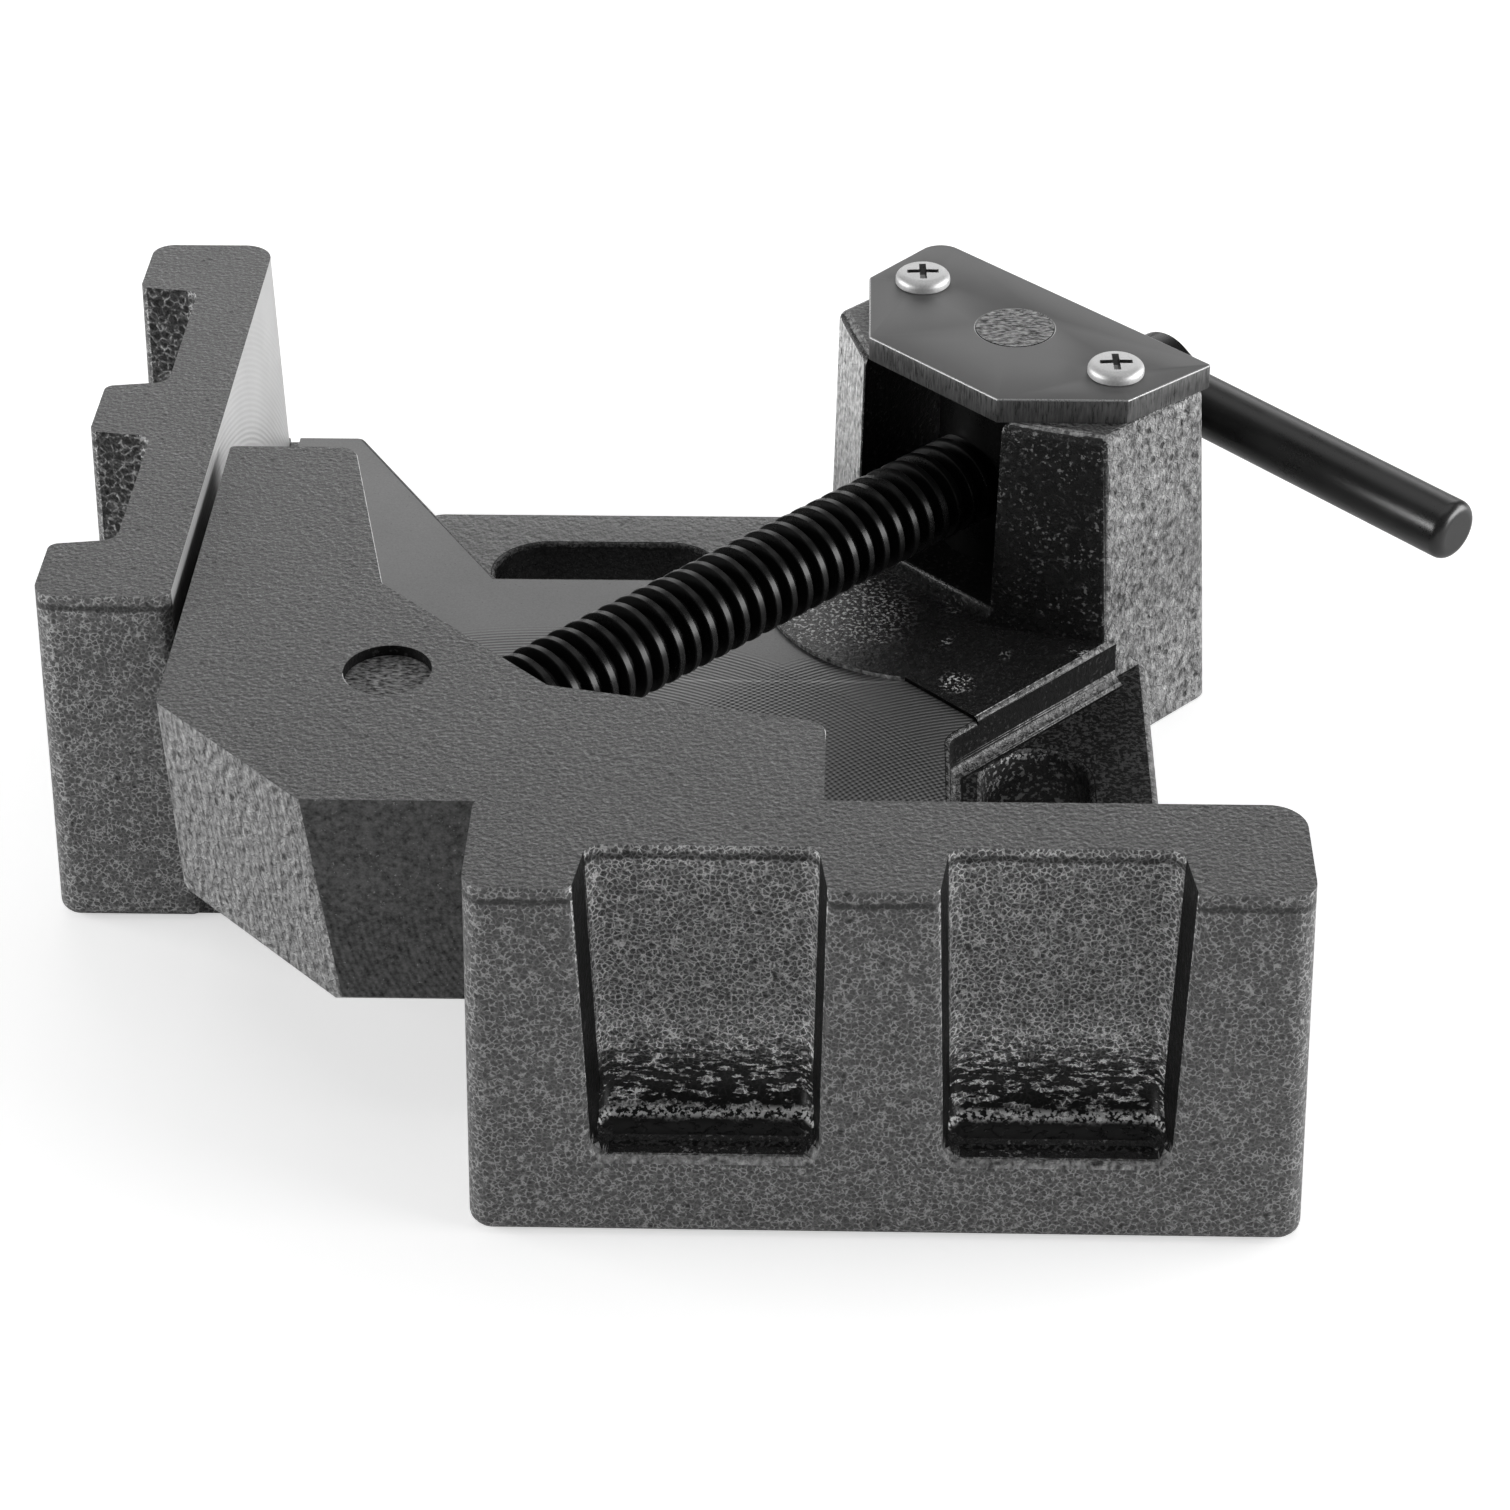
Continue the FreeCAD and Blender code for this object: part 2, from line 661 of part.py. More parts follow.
def movingJaw():
    """Cast block that slides on the floor; its cast sides draw in towards the bottom."""
    block = drafted(blockOutline(blockInset), blockOutline(0), blockBottom, blockTop)
    block = block.cut(footChamferTool()).cut(across45(footChamferTool()))
    chamber = upright(swivelBodyRadius + swivelRoom, swivelAxis, 0, blockBottom - overlap, swivelTop)
    ringRoom = slab(diagonalCorners(bothSides([
        (journalFront - 6.0, -spindleWindowHalfWidth, 2.0),
        (swivelAxis, -spindleWindowHalfWidth, 0),
    ])), blockBottom - overlap, swivelTop)
    windowRound = min(spindleWindowHalfWidth, spindleWindowHalfHeight) * 0.9
    window = Part.Face(roundedWire([
        (-spindleWindowHalfWidth, -spindleWindowHalfHeight, windowRound),
        (spindleWindowHalfWidth, -spindleWindowHalfHeight, windowRound),
        (spindleWindowHalfWidth, spindleWindowHalfHeight, windowRound),
        (-spindleWindowHalfWidth, spindleWindowHalfHeight, windowRound),
    ], 0)).extrude(vec(0, 0, blockBack - swivelAxis + overlap))
    window.rotate(vec(0, 0, 0), vec(1, 0, 0), 90)
    window.rotate(vec(0, 0, 0), vec(0, 0, 1), 135)
    x, y = spot(swivelAxis, 0)
    window.translate(vec(x, y, spindleHeight))
    recess = slab(keeperOutline(keeperFit), blockBottom - overlap, swivelBottom)
    block = block.cut(chamber.fuse(ringRoom)).cut(window).cut(recess)
    block = block.cut(upright(trunnionHole, swivelAxis, 0, swivelTop - overlap, blockTop + overlap))
    for along, across in keeperScrewSpots():
        hole = upright(keeperScrewRadius + runningClearance, along, across,
                       blockBottom, blockBottom + keeperScrewLength + overlap)
        block = block.cut(hole)
    return block


def keeperOutline(margin):
    """Outline of the keeper plate, let out by a margin for its recess."""
    length = keeperHalfLength + margin
    width = keeperHalfWidth + margin
    return diagonalCorners([
        (swivelAxis - length, -width, keeperCornerRound + margin),
        (swivelAxis + length - keeperInset(), -width, keeperCornerRound + margin),
        (swivelAxis + length - keeperInset(), width, keeperCornerRound + margin),
        (swivelAxis - length, width, keeperCornerRound + margin),
    ])


def keeperInset():
    """How much shorter the keeper plate is towards the back face of the moving jaw."""
    return max(0.0, swivelAxis + keeperHalfLength + keeperRearWall + blockInset - blockBack)


def keeperScrewSpots():
    """Places of the four keeper screws."""
    front = swivelAxis - keeperHalfLength + keeperScrewInset
    rear = swivelAxis + keeperHalfLength - keeperInset() - keeperScrewInset
    across = keeperHalfWidth - keeperScrewInset
    return [(front, -across), (front, across), (rear, -across), (rear, across)]


def keeperPlate():
    """Flush plate under the moving jaw that holds the swivel in."""
    plate = slab(keeperOutline(0), blockBottom, swivelBottom)
    plate = plate.cut(upright(trunnionHole, swivelAxis, 0, blockBottom - overlap, swivelBottom + overlap))
    for along, across in keeperScrewSpots():
        plate = plate.cut(keeperScrewSolid(along, across, 0.1))
    return plate


def keeperScrewSolid(along, across, margin):
    """Countersunk screw, let out by a margin to make its seat."""
    return turned([
        (0, blockBottom),
        (keeperScrewHeadRadius + margin, blockBottom),
        (keeperScrewRadius + margin, blockBottom + keeperScrewHeadHeight),
        (keeperScrewRadius + margin, blockBottom + keeperScrewLength),
        (0, blockBottom + keeperScrewLength),
    ], along, across)


def jawSwivel():
    """Upright pivot that carries the end of the screw inside the moving jaw."""
    gap = 0.2
    body = turned([
        (0, blockBottom + gap),
        (trunnionRadius, blockBottom + gap),
        (trunnionRadius, swivelBottom + gap),
        (swivelBodyRadius, swivelBottom + gap),
        (swivelBodyRadius, swivelTop - gap),
        (trunnionRadius, swivelTop - gap),
        (trunnionRadius, blockTop - swivelTopSink),
        (0, blockTop - swivelTopSink),
    ], swivelAxis, 0)
    keep = slab(diagonalCorners(bothSides([
        (swivelAxis - swivelFlat, -2 * swivelBodyRadius, 0),
        (swivelAxis + swivelFlat, -2 * swivelBodyRadius, 0),
    ])), blockBottom, blockTop)
    reach = swivelBodyRadius + overlap
    bore = alongScrew(spindleJournalRadius + runningClearance, swivelAxis - reach, swivelAxis + reach)
    return body.common(keep).cut(bore)


def washer(radius, start, thickness):
    """Plain washer on the screw's journal."""
    return alongScrew(radius, start, start + thickness).cut(
        alongScrew(spindleJournalRadius + runningClearance, start - overlap, start + thickness + overlap))


def rearWasher():
    return washer(washerRadius, swivelAxis + swivelFlat, rearWasherThickness)


def frontWasher():
    return washer(washerRadius, journalFront - axialPlay - frontWasherThickness, frontWasherThickness)


def ringStart():
    """Front face of the retaining ring, measured along the diagonal."""
    return journalFront - 2 * axialPlay - frontWasherThickness - ringThickness


def retainingRing():
    """Open spring ring in the groove at the end of the journal."""
    ring = alongScrew(ringRadius, ringStart(), ringStart() + ringThickness)
    ring = ring.cut(alongScrew(ringGrooveRadius + 0.02, ringStart() - overlap, ringStart() + ringThickness + overlap))
    mouth = slab(diagonalCorners(bothSides([
        (ringStart() - overlap, -ringGrooveRadius * 0.6, 0),
        (ringStart() + ringThickness + overlap, -ringGrooveRadius * 0.6, 0),
    ])), spindleHeight - 2 * ringRadius, spindleHeight)
    return ring.cut(mouth)


def barDirection():
    """Unit direction of the handle bar, from the front jaw's side to the side jaw's side."""
    tilt = math.radians(barTilt)
    return vec(-diagonal * math.cos(tilt), diagonal * math.cos(tilt), math.sin(tilt))


def barCylinder(radius, start, end):
    """Cylinder on the handle bar's line, measured from the screw's axis."""
    x, y = spot(barAlong, 0)
    direction = barDirection()
    return Part.makeCylinder(radius, end - start, vec(x, y, spindleHeight) + direction * start, direction)


def spindle():
    """Clamping screw: journal and ring groove in front, threaded length, cross hole behind."""
    journalEnd = ringStart() - journalEndSpare
    shoulder = swivelAxis + swivelFlat + rearWasherThickness + axialPlay
    profile = [
        (journalEnd, 0),
        (journalEnd, spindleJournalRadius - 0.5),
        (journalEnd + 0.5, spindleJournalRadius),
        (ringStart() - axialPlay / 2, spindleJournalRadius),
        (ringStart() - axialPlay / 2, ringGrooveRadius),
        (ringStart() + ringThickness + axialPlay / 2, ringGrooveRadius),
        (ringStart() + ringThickness + axialPlay / 2, spindleJournalRadius),
        (shoulder, spindleJournalRadius),
        (shoulder, spindleRadius - spindleEndChamfer),
        (shoulder + spindleEndChamfer, spindleRadius),
        (spindleRearEnd - spindleRearChamfer, spindleRadius),
        (spindleRearEnd, spindleRadius - spindleRearChamfer),
        (spindleRearEnd, 0),
    ]
    points = [vec(along, radius) for along, radius in profile]
    rod = Part.Face(Part.makePolygon(points + [points[0]])).revolve(vec(0, 0, 0), vec(1, 0, 0), 360)
    rod.rotate(vec(0, 0, 0), vec(0, 0, 1), 45)
    rod.translate(vec(0, 0, spindleHeight))
    reach = spindleRadius + overlap
    return rod.cut(barCylinder(barRadius + runningClearance, -reach, reach))


def tommyBar():
    """Plain round handle bar with rounded ends, slid towards the front jaw's side."""
    start = -barLength / 2 - barShift
    bar = barCylinder(barRadius, start, start + barLength)
    rims = [edge for edge in bar.Edges if edge.Closed]
    return bar.makeFillet(barEndRound, rims)


def main():
    os.makedirs("parts", exist_ok=True)
    nodes = {
        "frame_casting": frameCasting(),
        "cover_plate": coverPlate(),
        "cover_screw_front": coverScrew(-1),
        "cover_screw_side": coverScrew(1),
        "trunnion_nut": trunnionNut(),
        "moving_jaw": movingJaw(),
        "keeper_plate": keeperPlate(),
        "jaw_swivel": jawSwivel(),
        "rear_thrust_washer": rearWasher(),
        "front_thrust_washer": frontWasher(),
        "retaining_ring": retainingRing(),
        "spindle": spindle(),
        "tommy_bar": tommyBar(),
    }
    for number, (along, across) in enumerate(keeperScrewSpots(), 1):
        nodes["keeper_screw_%d" % number] = keeperScrewSolid(along, across, 0)
    for name, shape in nodes.items():
        print(name, "valid" if shape.isValid() else "NOT VALID", len(shape.Solids), "solid", round(shape.Volume))
        shape.exportStep("parts/%s.step" % name)


main()
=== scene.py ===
import json
import math

import bmesh
import bpy
from mathutils import Matrix, Vector

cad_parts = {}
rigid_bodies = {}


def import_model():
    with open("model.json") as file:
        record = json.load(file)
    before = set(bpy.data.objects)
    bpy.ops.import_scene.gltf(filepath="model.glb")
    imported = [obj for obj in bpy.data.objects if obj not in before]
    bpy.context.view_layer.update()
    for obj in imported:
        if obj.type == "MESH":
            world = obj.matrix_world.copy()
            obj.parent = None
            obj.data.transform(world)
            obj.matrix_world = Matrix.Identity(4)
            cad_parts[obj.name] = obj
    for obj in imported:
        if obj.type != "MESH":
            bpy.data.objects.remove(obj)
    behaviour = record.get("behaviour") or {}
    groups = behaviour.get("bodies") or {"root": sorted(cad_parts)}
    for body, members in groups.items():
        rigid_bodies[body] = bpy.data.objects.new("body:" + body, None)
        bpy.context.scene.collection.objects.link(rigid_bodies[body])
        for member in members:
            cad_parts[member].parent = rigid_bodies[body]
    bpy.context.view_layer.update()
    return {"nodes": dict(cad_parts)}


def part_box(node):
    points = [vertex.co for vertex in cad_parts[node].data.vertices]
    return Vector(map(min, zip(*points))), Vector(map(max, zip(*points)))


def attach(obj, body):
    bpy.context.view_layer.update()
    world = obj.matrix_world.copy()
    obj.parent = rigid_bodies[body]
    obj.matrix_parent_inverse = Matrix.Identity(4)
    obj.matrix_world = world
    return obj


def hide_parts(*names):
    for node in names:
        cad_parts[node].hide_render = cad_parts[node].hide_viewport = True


for leftover in list(bpy.data.objects):
    bpy.data.objects.remove(leftover, do_unlink=True)

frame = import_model()
print("frame loaded")

mm = 0.001
half = math.sqrt(0.5)
along = Vector((half, half, 0.0))  # the screw's line, away from the corner
across = Vector((-half, half, 0.0))
upward = Vector((0.0, 0.0, 1.0))


# a shader value that takes arithmetic, and makes any node
class Flow:
    def __init__(self, tree, socket=None):
        self.tree = tree
        self.socket = socket

    def node(self, kind, settings, sockets, out=0):
        made = self.tree.nodes.new(kind)
        for key, value in settings.items():
            setattr(made, key, value)
        for key, value in sockets.items():
            if isinstance(value, Flow):
                self.tree.links.new(value.socket, made.inputs[key])
            else:
                made.inputs[key].default_value = value
        return Flow(self.tree, made.outputs[out])

    def math(self, operation, *values, clamp=False):
        settings = {"operation": operation, "use_clamp": clamp}
        return self.node("ShaderNodeMath", settings, dict(enumerate(values)))

    def __add__(self, other):
        return self.math("ADD", self, other)

    __radd__ = __add__

    def __sub__(self, other):
        return self.math("SUBTRACT", self, other)

    def __rsub__(self, other):
        return self.math("SUBTRACT", other, self)

    def __mul__(self, other):
        return self.math("MULTIPLY", self, other)

    __rmul__ = __mul__

    def sine(self):
        return self.math("SINE", self)

    def absolute(self):
        return self.math("ABSOLUTE", self)

    def atLeast(self, low):
        return self.math("MAXIMUM", self, low)

    def atMost(self, high):
        return self.math("MINIMUM", self, high)

    def clamped(self):
        return self.math("ADD", self, 0.0, clamp=True)

    # 0 at low and below, 1 at high and above, smooth between
    def between(self, low, high):
        settings = {"interpolation_type": "SMOOTHSTEP"}
        sockets = {"Value": self, "From Min": low, "From Max": high}
        return self.node("ShaderNodeMapRange", settings, sockets)

    def shifted(self, other):
        settings = {"operation": "ADD"}
        return self.node("ShaderNodeVectorMath", settings, {0: self, 1: other})

    def scaled(self, factor):
        settings = {"operation": "SCALE"}
        return self.node("ShaderNodeVectorMath", settings, {0: self, "Scale": factor})

    def stretched(self, scale):
        return self.node("ShaderNodeMapping", {}, {"Vector": self, "Scale": scale})

    def noise(self, scale, detail=2.0, rough=0.5, out=0):
        sockets = {"Vector": self, "Scale": scale, "Detail": detail, "Roughness": rough}
        return self.node("ShaderNodeTexNoise", {}, sockets, out)

    def cells(self, scale, feature="DISTANCE_TO_EDGE"):
        sockets = {"Vector": self, "Scale": scale}
        return self.node("ShaderNodeTexVoronoi", {"feature": feature}, sockets)

    def axes(self):
        parts = self.tree.nodes.new("ShaderNodeSeparateXYZ")
        self.tree.links.new(self.socket, parts.inputs[0])
        return [Flow(self.tree, part) for part in parts.outputs]

    # distance from a point in the plane of two axes
    def distanceFrom(self, first, second, axesUsed):
        parts = self.axes()
        a = parts[axesUsed[0]] - first
        b = parts[axesUsed[1]] - second
        squares = a * a + b * b
        return self.math("SQRT", squares)

    def bump(self, values):
        sockets = {"Height": self, "Strength": values["bump"], "Distance": values["depth"]}
        return self.node("ShaderNodeBump", {}, sockets)


def emptyMaterial(name):
    material = bpy.data.materials.new(name)
    material.use_nodes = True
    material.node_tree.nodes.clear()
    return material, Flow(material.node_tree)


# the second value is the place on the object, in millimetres
def newMaterial(name):
    material, flow = emptyMaterial(name)
    place = flow.node("ShaderNodeTexCoord", {}, {}, 3)
    return material, place.stretched((1000.0, 1000.0, 1000.0))


def finishMaterial(material, sockets):
    flow = Flow(material.node_tree)
    surface = flow.node("ShaderNodeBsdfPrincipled", {}, sockets)
    output = flow.tree.nodes.new("ShaderNodeOutputMaterial")
    flow.tree.links.new(surface.socket, output.inputs["Surface"])
    return material


darkest = 0.003  # base colour never goes below this

edgeLine = {
    "wanderScale": 0.3,
    "wander": 1.6,
    "band": (0.3, 0.9),
    "dark": 0.75,
}


# painted shade: a dark, wandering line where a side turns over to the top
def edgeShade(place, level):
    wander = (place.noise(edgeLine["wanderScale"], 3.0, 0.6) - 0.5) * edgeLine["wander"]
    off = place.axes()[2] + wander - level
    near = 1.0 - off.absolute().between(*edgeLine["band"])
    return 1.0 - near * edgeLine["dark"]


crease = {
    "stretch": (0.4, 0.4, 1.2),
    "waveScale": 0.9,
    "lift": 0.16,
    "sink": 0.2,
    "ridge": (0.47, 0.54),
    "dip": 0.02,
    "height": 2.0,
    "paintedGlintScale": 1.3,
    "paintedGlint": (0.46, 0.54),
    "lineFoot": (17.3, 17.8),
    "lineTop": (18.3, 19.2),
    "lineTone": 0.75,
    "black": (17.0, 18.0),
    "shade": (18.6, 21.0),
    "shadeDark": 0.6,
}


# paint low in a pocket, with painted shade: black dips between ridges and darker towards the
# bottom, then a broken painted highlight line over the black foot of painted shade
def creased(place, tone, height, values):
    level = place.axes()[2]
    low = 1.0 - level.between(values["creaseLow"], values["creaseHigh"])
    waves = place.stretched(crease["stretch"]).noise(crease["waveScale"], 3.0, 0.6)
    ridge = (waves + crease["lift"] - low * crease["sink"]).between(*crease["ridge"])
    cover = ridge * low + (1.0 - low)
    tone = tone * (1.0 + low * values["creaseTone"])
    tone = tone * (crease["dip"] + (1.0 - crease["dip"]) * cover)
    shade = 1.0 - level.between(*crease["shade"])
    tone = tone * (1.0 - low * shade * crease["shadeDark"])
    # the broken light line is a painted highlight, and the black foot below it painted shade
    line = level.between(*crease["lineFoot"]) * (1.0 - level.between(*crease["lineTop"]))
    paintedGlint = place.noise(crease["paintedGlintScale"], 2.0, 0.6).between(*crease["paintedGlint"])
    black = 1.0 - level.between(*crease["black"])
    tone = (tone + line * paintedGlint * crease["lineTone"]) * (1.0 - black)
    return tone, height * (1.0 - low) + cover * low * crease["height"]


# light and dark sides of the skin's lumps, as a lamp from one side shows them
def lumpRelief(place, values):
    skin = place.stretched(values["lumpStretch"])
    lit = tuple(0.5 * part for part in values["lit"])
    shade = tuple(-part for part in lit)
    bright = skin.shifted(lit).noise(values["lumpScale"], 2.0, 0.6)
    relief = bright - skin.shifted(shade).noise(values["lumpScale"], 2.0, 0.6)
    relief = 1.0 + relief * values["relief"]
    low, high = values["reliefLimits"]
    return relief.atLeast(low).atMost(high)


# hammered paint: a net of light veins round dark dimples, with pinholes
def castPaint(name, values):
    material, place = newMaterial(name)
    drift = place.noise(values["warpScale"], 2.0, 0.6, out=1).scaled(values["warp"])
    warped = place.shifted(drift)
    width = values["veinWidth"]
    edge = warped.cells(1.0 / values["cell"])
    fineEdge = warped.shifted(values["finerShift"]).cells(values["finerScale"] / values["cell"])
    finer = (1.0 - fineEdge.between(0.0, width)) * values["finer"]
    vein = (1.0 - edge.between(0.0, width)).atLeast(finer)
    gaps = place.noise(values["gapScale"], 2.0, 0.6)
    gaps = gaps.between(values["gapLow"], values["gapLow"] + values["gapSoft"])
    there = values["gapLevel"] + (1.0 - values["gapLevel"]) * gaps
    net = vein * there
    dimple = edge.between(width * 0.8, values["dimpleFloor"]) * there
    pits = 1.0 - warped.cells(1.0 / values["pitSpacing"], "F1").between(*values["pitRim"])
    pits = pits * place.noise(0.9 / values["pitSpacing"], 1.0).between(*values["pitRare"])
    grain = place.noise(values["grainScale"], 4.0, 0.65)
    flecks = (grain - 0.5) * 2.0
    patch = place.noise(values["patchScale"], 2.0, 0.5)
    tone = values["tone"] * (1.0 + (patch - 0.5) * values["patch"])
    tone = tone + net * values["veinTone"] + flecks * values["grainTone"]
    # the dimples are darkened, and lumpRelief paints light and shade on the lumps
    tone = tone * (1.0 - dimple * values["dimple"]) * lumpRelief(place, values)
    tone = tone * (1.0 - pits * values["pitDark"])
    height = net * values["netHeight"] + grain * values["grainHeight"] - pits
    if "edgeLine" in values:
        tone = tone * edgeShade(place, values["edgeLine"])
    if "creaseHigh" in values:
        tone, height = creased(place, tone, height, values)
    sockets = {
        "Base Color": tone.atLeast(darkest),
        "Roughness": (values["roughness"] + flecks * values["grainRough"]).clamped(),
        "Specular IOR Level": values["specular"],
        "Coat Weight": values["coat"],
        "Coat Roughness": values["coatRough"],
        "Normal": height.bump(values),
    }
    return finishMaterial(material, sockets)


# painted shade over rough skin: near-black paint with gloss and lumps, and a few light specks
# that are painted glints
def lumpyShadePaint(name, values):
    material, place = newMaterial(name)
    lumps = place.noise(values["lumpScale"], 3.0, 0.6)
    grain = place.noise(values["grainScale"], 3.0, 0.6)
    flecks = (lumps - 0.5) * 2.0
    rare = values["speckRare"]
    specks = place.noise(values["speckScale"], 2.0, 0.6).between(rare, rare + values["speckSoft"])
    area = values["speckArea"]
    where = place.noise(values["areaScale"], 2.0, 0.5).between(area, area + values["areaSoft"])
    # more painted glints round the listed spots
    for first, second, reach in values["glintSpots"]:
        far = place.distanceFrom(first, second, (0, 1)).between(reach * 0.4, reach)
        where = where.atLeast(1.0 - far)
    tone = (values["tone"] + flecks * values["lumpTone"]).atLeast(darkest)
    height = lumps + grain * values["grainHeight"] + specks * values["speckHeight"]
    sockets = {
        "Base Color": tone + specks * where * values["speckTone"],
        "Roughness": (values["roughness"] + flecks * values["lumpRough"]).clamped(),
        "Specular IOR Level": values["specular"],
        "Coat Weight": values["coat"],
        "Coat Roughness": values["coatRough"],
        "Normal": height.bump(values),
    }
    return finishMaterial(material, sockets)


# fine arcs of a milling cutter about each stated centre
def millMarks(place, values):
    marks = None
    soft = values["ringSoft"]
    for first, second, pitch, amount, near, far in values["rings"]:
        reach = place.distanceFrom(first, second, values["axes"])
        wave = (reach * (2.0 * math.pi / pitch)).sine()
        band = reach.between(near, near + soft) * (1.0 - reach.between(far - soft, far))
        ring = wave * band * amount
        marks = ring if marks is None else marks + ring
    return marks


# machined iron, bare, with painted shade where the moving jaw stands before a jaw face
def milledIron(name, values):
    material, place = newMaterial(name)
    grain = place.noise(values["grainScale"], 3.0, 0.6)
    flecks = (grain - 0.5) * 2.0
    specks = place.noise(values["speckScale"], 2.0, 0.7).between(*values["speckRare"])
    patch = place.noise(values["patchScale"], 3.0, 0.5)
    tone = values["tone"] * (1.0 + (patch - 0.5) * values["patch"])
    tone = tone + flecks * values["grainTone"] + specks * values["speckTone"]
    parts = place.axes()
    if "underJawShade" in values:
        # painted shade low on a jaw face, where the moving jaw stands
        run = parts[values["axes"][0]]
        underJawShadeMask = 1.0 - run.between(*values["underJawShadeEnd"])
        underJawShadeMask = underJawShadeMask * (1.0 - parts[2].between(*values["underJawShadeTop"]))
        tone = tone * (1.0 - underJawShadeMask * values["underJawShade"])
    if "step" in values:
        off = parts[1] - values["step"]
        line = 1.0 - off.absolute().between(*values["stepBand"])
        tone = tone + line * parts[0].between(*values["stepFrom"]) * values["stepTone"]
    marks = millMarks(place, values)
    if "markTop" in values:
        fade = parts[2].between(values["markTop"] - values["markFade"], values["markTop"])
        marks = marks * (1.0 - fade)
    height = grain * values["grainHeight"] + marks
    sockets = {
        "Base Color": (tone + marks * values["markTone"]).atLeast(values["darkest"]),
        "Metallic": values["metallic"],
        "Roughness": (values["roughness"] + flecks * values["grainRough"]).clamped(),
        "Normal": height.bump(values),
    }
    return finishMaterial(material, sockets)


def plainSteel(name, values):
    material, place = newMaterial(name)
    grain = place.stretched(values["stretch"]).noise(values["grainScale"], 4.0, 0.6)
    flecks = (grain - 0.5) * 2.0
    patch = place.noise(values["patchScale"], 2.0, 0.5) - 0.5
    tone = values["tone"] * (1.0 + patch * values["patch"]) + flecks * values["grainTone"]
    rough = values["roughness"] + flecks * values["grainRough"] + patch * values["patchRough"]
    sockets = {
        "Base Color": tone.atLeast(darkest),
        "Metallic": values["metallic"],
        "Roughness": rough.clamped(),
        "Normal": grain.bump(values),
    }
    return finishMaterial(material, sockets)


# scales are per millimetre, and tones are base colours
hammer = {
    "tone": 0.057,
    "patch": 0.32,
    "patchScale": 0.06,
    "cell": 0.98,
    "veinTone": 0.29,
    "veinWidth": 0.17,
    "finer": 0.3,
    "finerScale": 1.45,
    "finerShift": (3.1, 1.7, 2.3),
    "netHeight": 0.6,
    "dimple": 0.45,
    "dimpleFloor": 0.42,
    "gapScale": 0.75,
    "gapLow": 0.44,
    "gapSoft": 0.12,
    "gapLevel": 0.3,
    "warp": 0.7,
    "warpScale": 1.3,
    "lumpScale": 0.9,
    "lumpStretch": (1.0, 1.0, 1.0),
    "lit": (0.15, 0.1, 0.35),
    "relief": 0.8,
    "reliefLimits": (0.15, 2.4),
    "grainScale": 2.4,
    "grainTone": 0.07,
    "grainHeight": 0.5,
    "grainRough": 0.12,
    "pitSpacing": 2.6,
    "pitRim": (0.1, 0.26),
    "pitRare": (0.52, 0.6),
    "pitDark": 0.85,
    "roughness": 0.42,
    "specular": 0.5,
    "coat": 0.15,
    "coatRough": 0.25,
    "bump": 0.5,
    "depth": 0.00025,
}
topSkin = {
    "veinTone": 0.07,
    "dimple": 0.15,
    "gapLevel": 0.6,
}
paintTop = castPaint(
    "paintTop",
    hammer
    | topSkin
    | {
        "tone": 0.059,
        "lumpScale": 1.1,
        "lumpStretch": (0.9, 1.2, 1.0),
        "lit": (0.15, 0.45, 0.0),
        "relief": 4.4,
    },
)
# a lighter copy of the top paint for the far flange: painted light
paintFarLit = castPaint(
    "paintFarLit",
    hammer | topSkin | {"tone": 0.155, "lit": (0.12, 0.5, 0.0), "relief": 4.0},
)
paintSide = castPaint("paintSide", hammer | {"edgeLine": 66.4})
# a lighter copy for the side jaw's end face: painted light
paintEndLit = castPaint(
    "paintEndLit", hammer | {"tone": 0.08, "veinTone": 0.4, "edgeLine": 66.4}
)
# a much lighter copy of the hammered paint with a coarser skin: painted light for side-lit faces;
# paintLit is lighter still
coarse = hammer | {
    "tone": 0.22,
    "cell": 1.5,
    "veinTone": 0.05,
    "dimple": 0.1,
    "gapLevel": 0.6,
    "grainTone": 0.1,
    "pitSpacing": 3.4,
    "lumpScale": 0.6,
    "lumpStretch": (1.2, 1.2, 0.8),
    "lit": (-0.5, 0.5, 0.4),
    "relief": 3.6,
    "bump": 1.0,
    "depth": 0.0006,
}
paintCoarseLit = castPaint("paintCoarseLit", coarse)
paintLit = castPaint("paintLit", coarse | {"tone": 0.7, "relief": 2.6})
# the front jaw's pocket backs: veins lighter than elsewhere as painted light, and creased with
# painted shade low down
pocketPaint = hammer | {
    "tone": 0.085,
    "veinTone": 0.62,
    "dimple": 0.55,
    "gapLevel": 0.5,
    "edgeLine": 67.0,
    "creaseLow": 24.0,
    "creaseHigh": 41.0,
    "creaseTone": 1.1,
    "relief": 1.2,
    "coat": 0.05,
    "specular": 0.3,
}
paintBack = castPaint("paintBack", pocketPaint)
# a darker copy for the side jaw's pocket backs: painted shade
paintBackSideShaded = castPaint(
    "paintBackSideShaded", pocketPaint | {"tone": 0.04, "veinTone": 0.22, "creaseTone": 0.4}
)
# a darker copy for the pockets' side walls: painted shade
paintWallShaded = castPaint(
    "paintWallShaded",
    hammer
    | {
        "tone": 0.025,
        "cell": 1.8,
        "veinTone": 0.3,
        "dimple": 0.9,
        "gapLevel": 0.2,
        "lumpScale": 0.6,
        "relief": 4.0,
        "specular": 0.2,
        "bump": 1.0,
    },
)

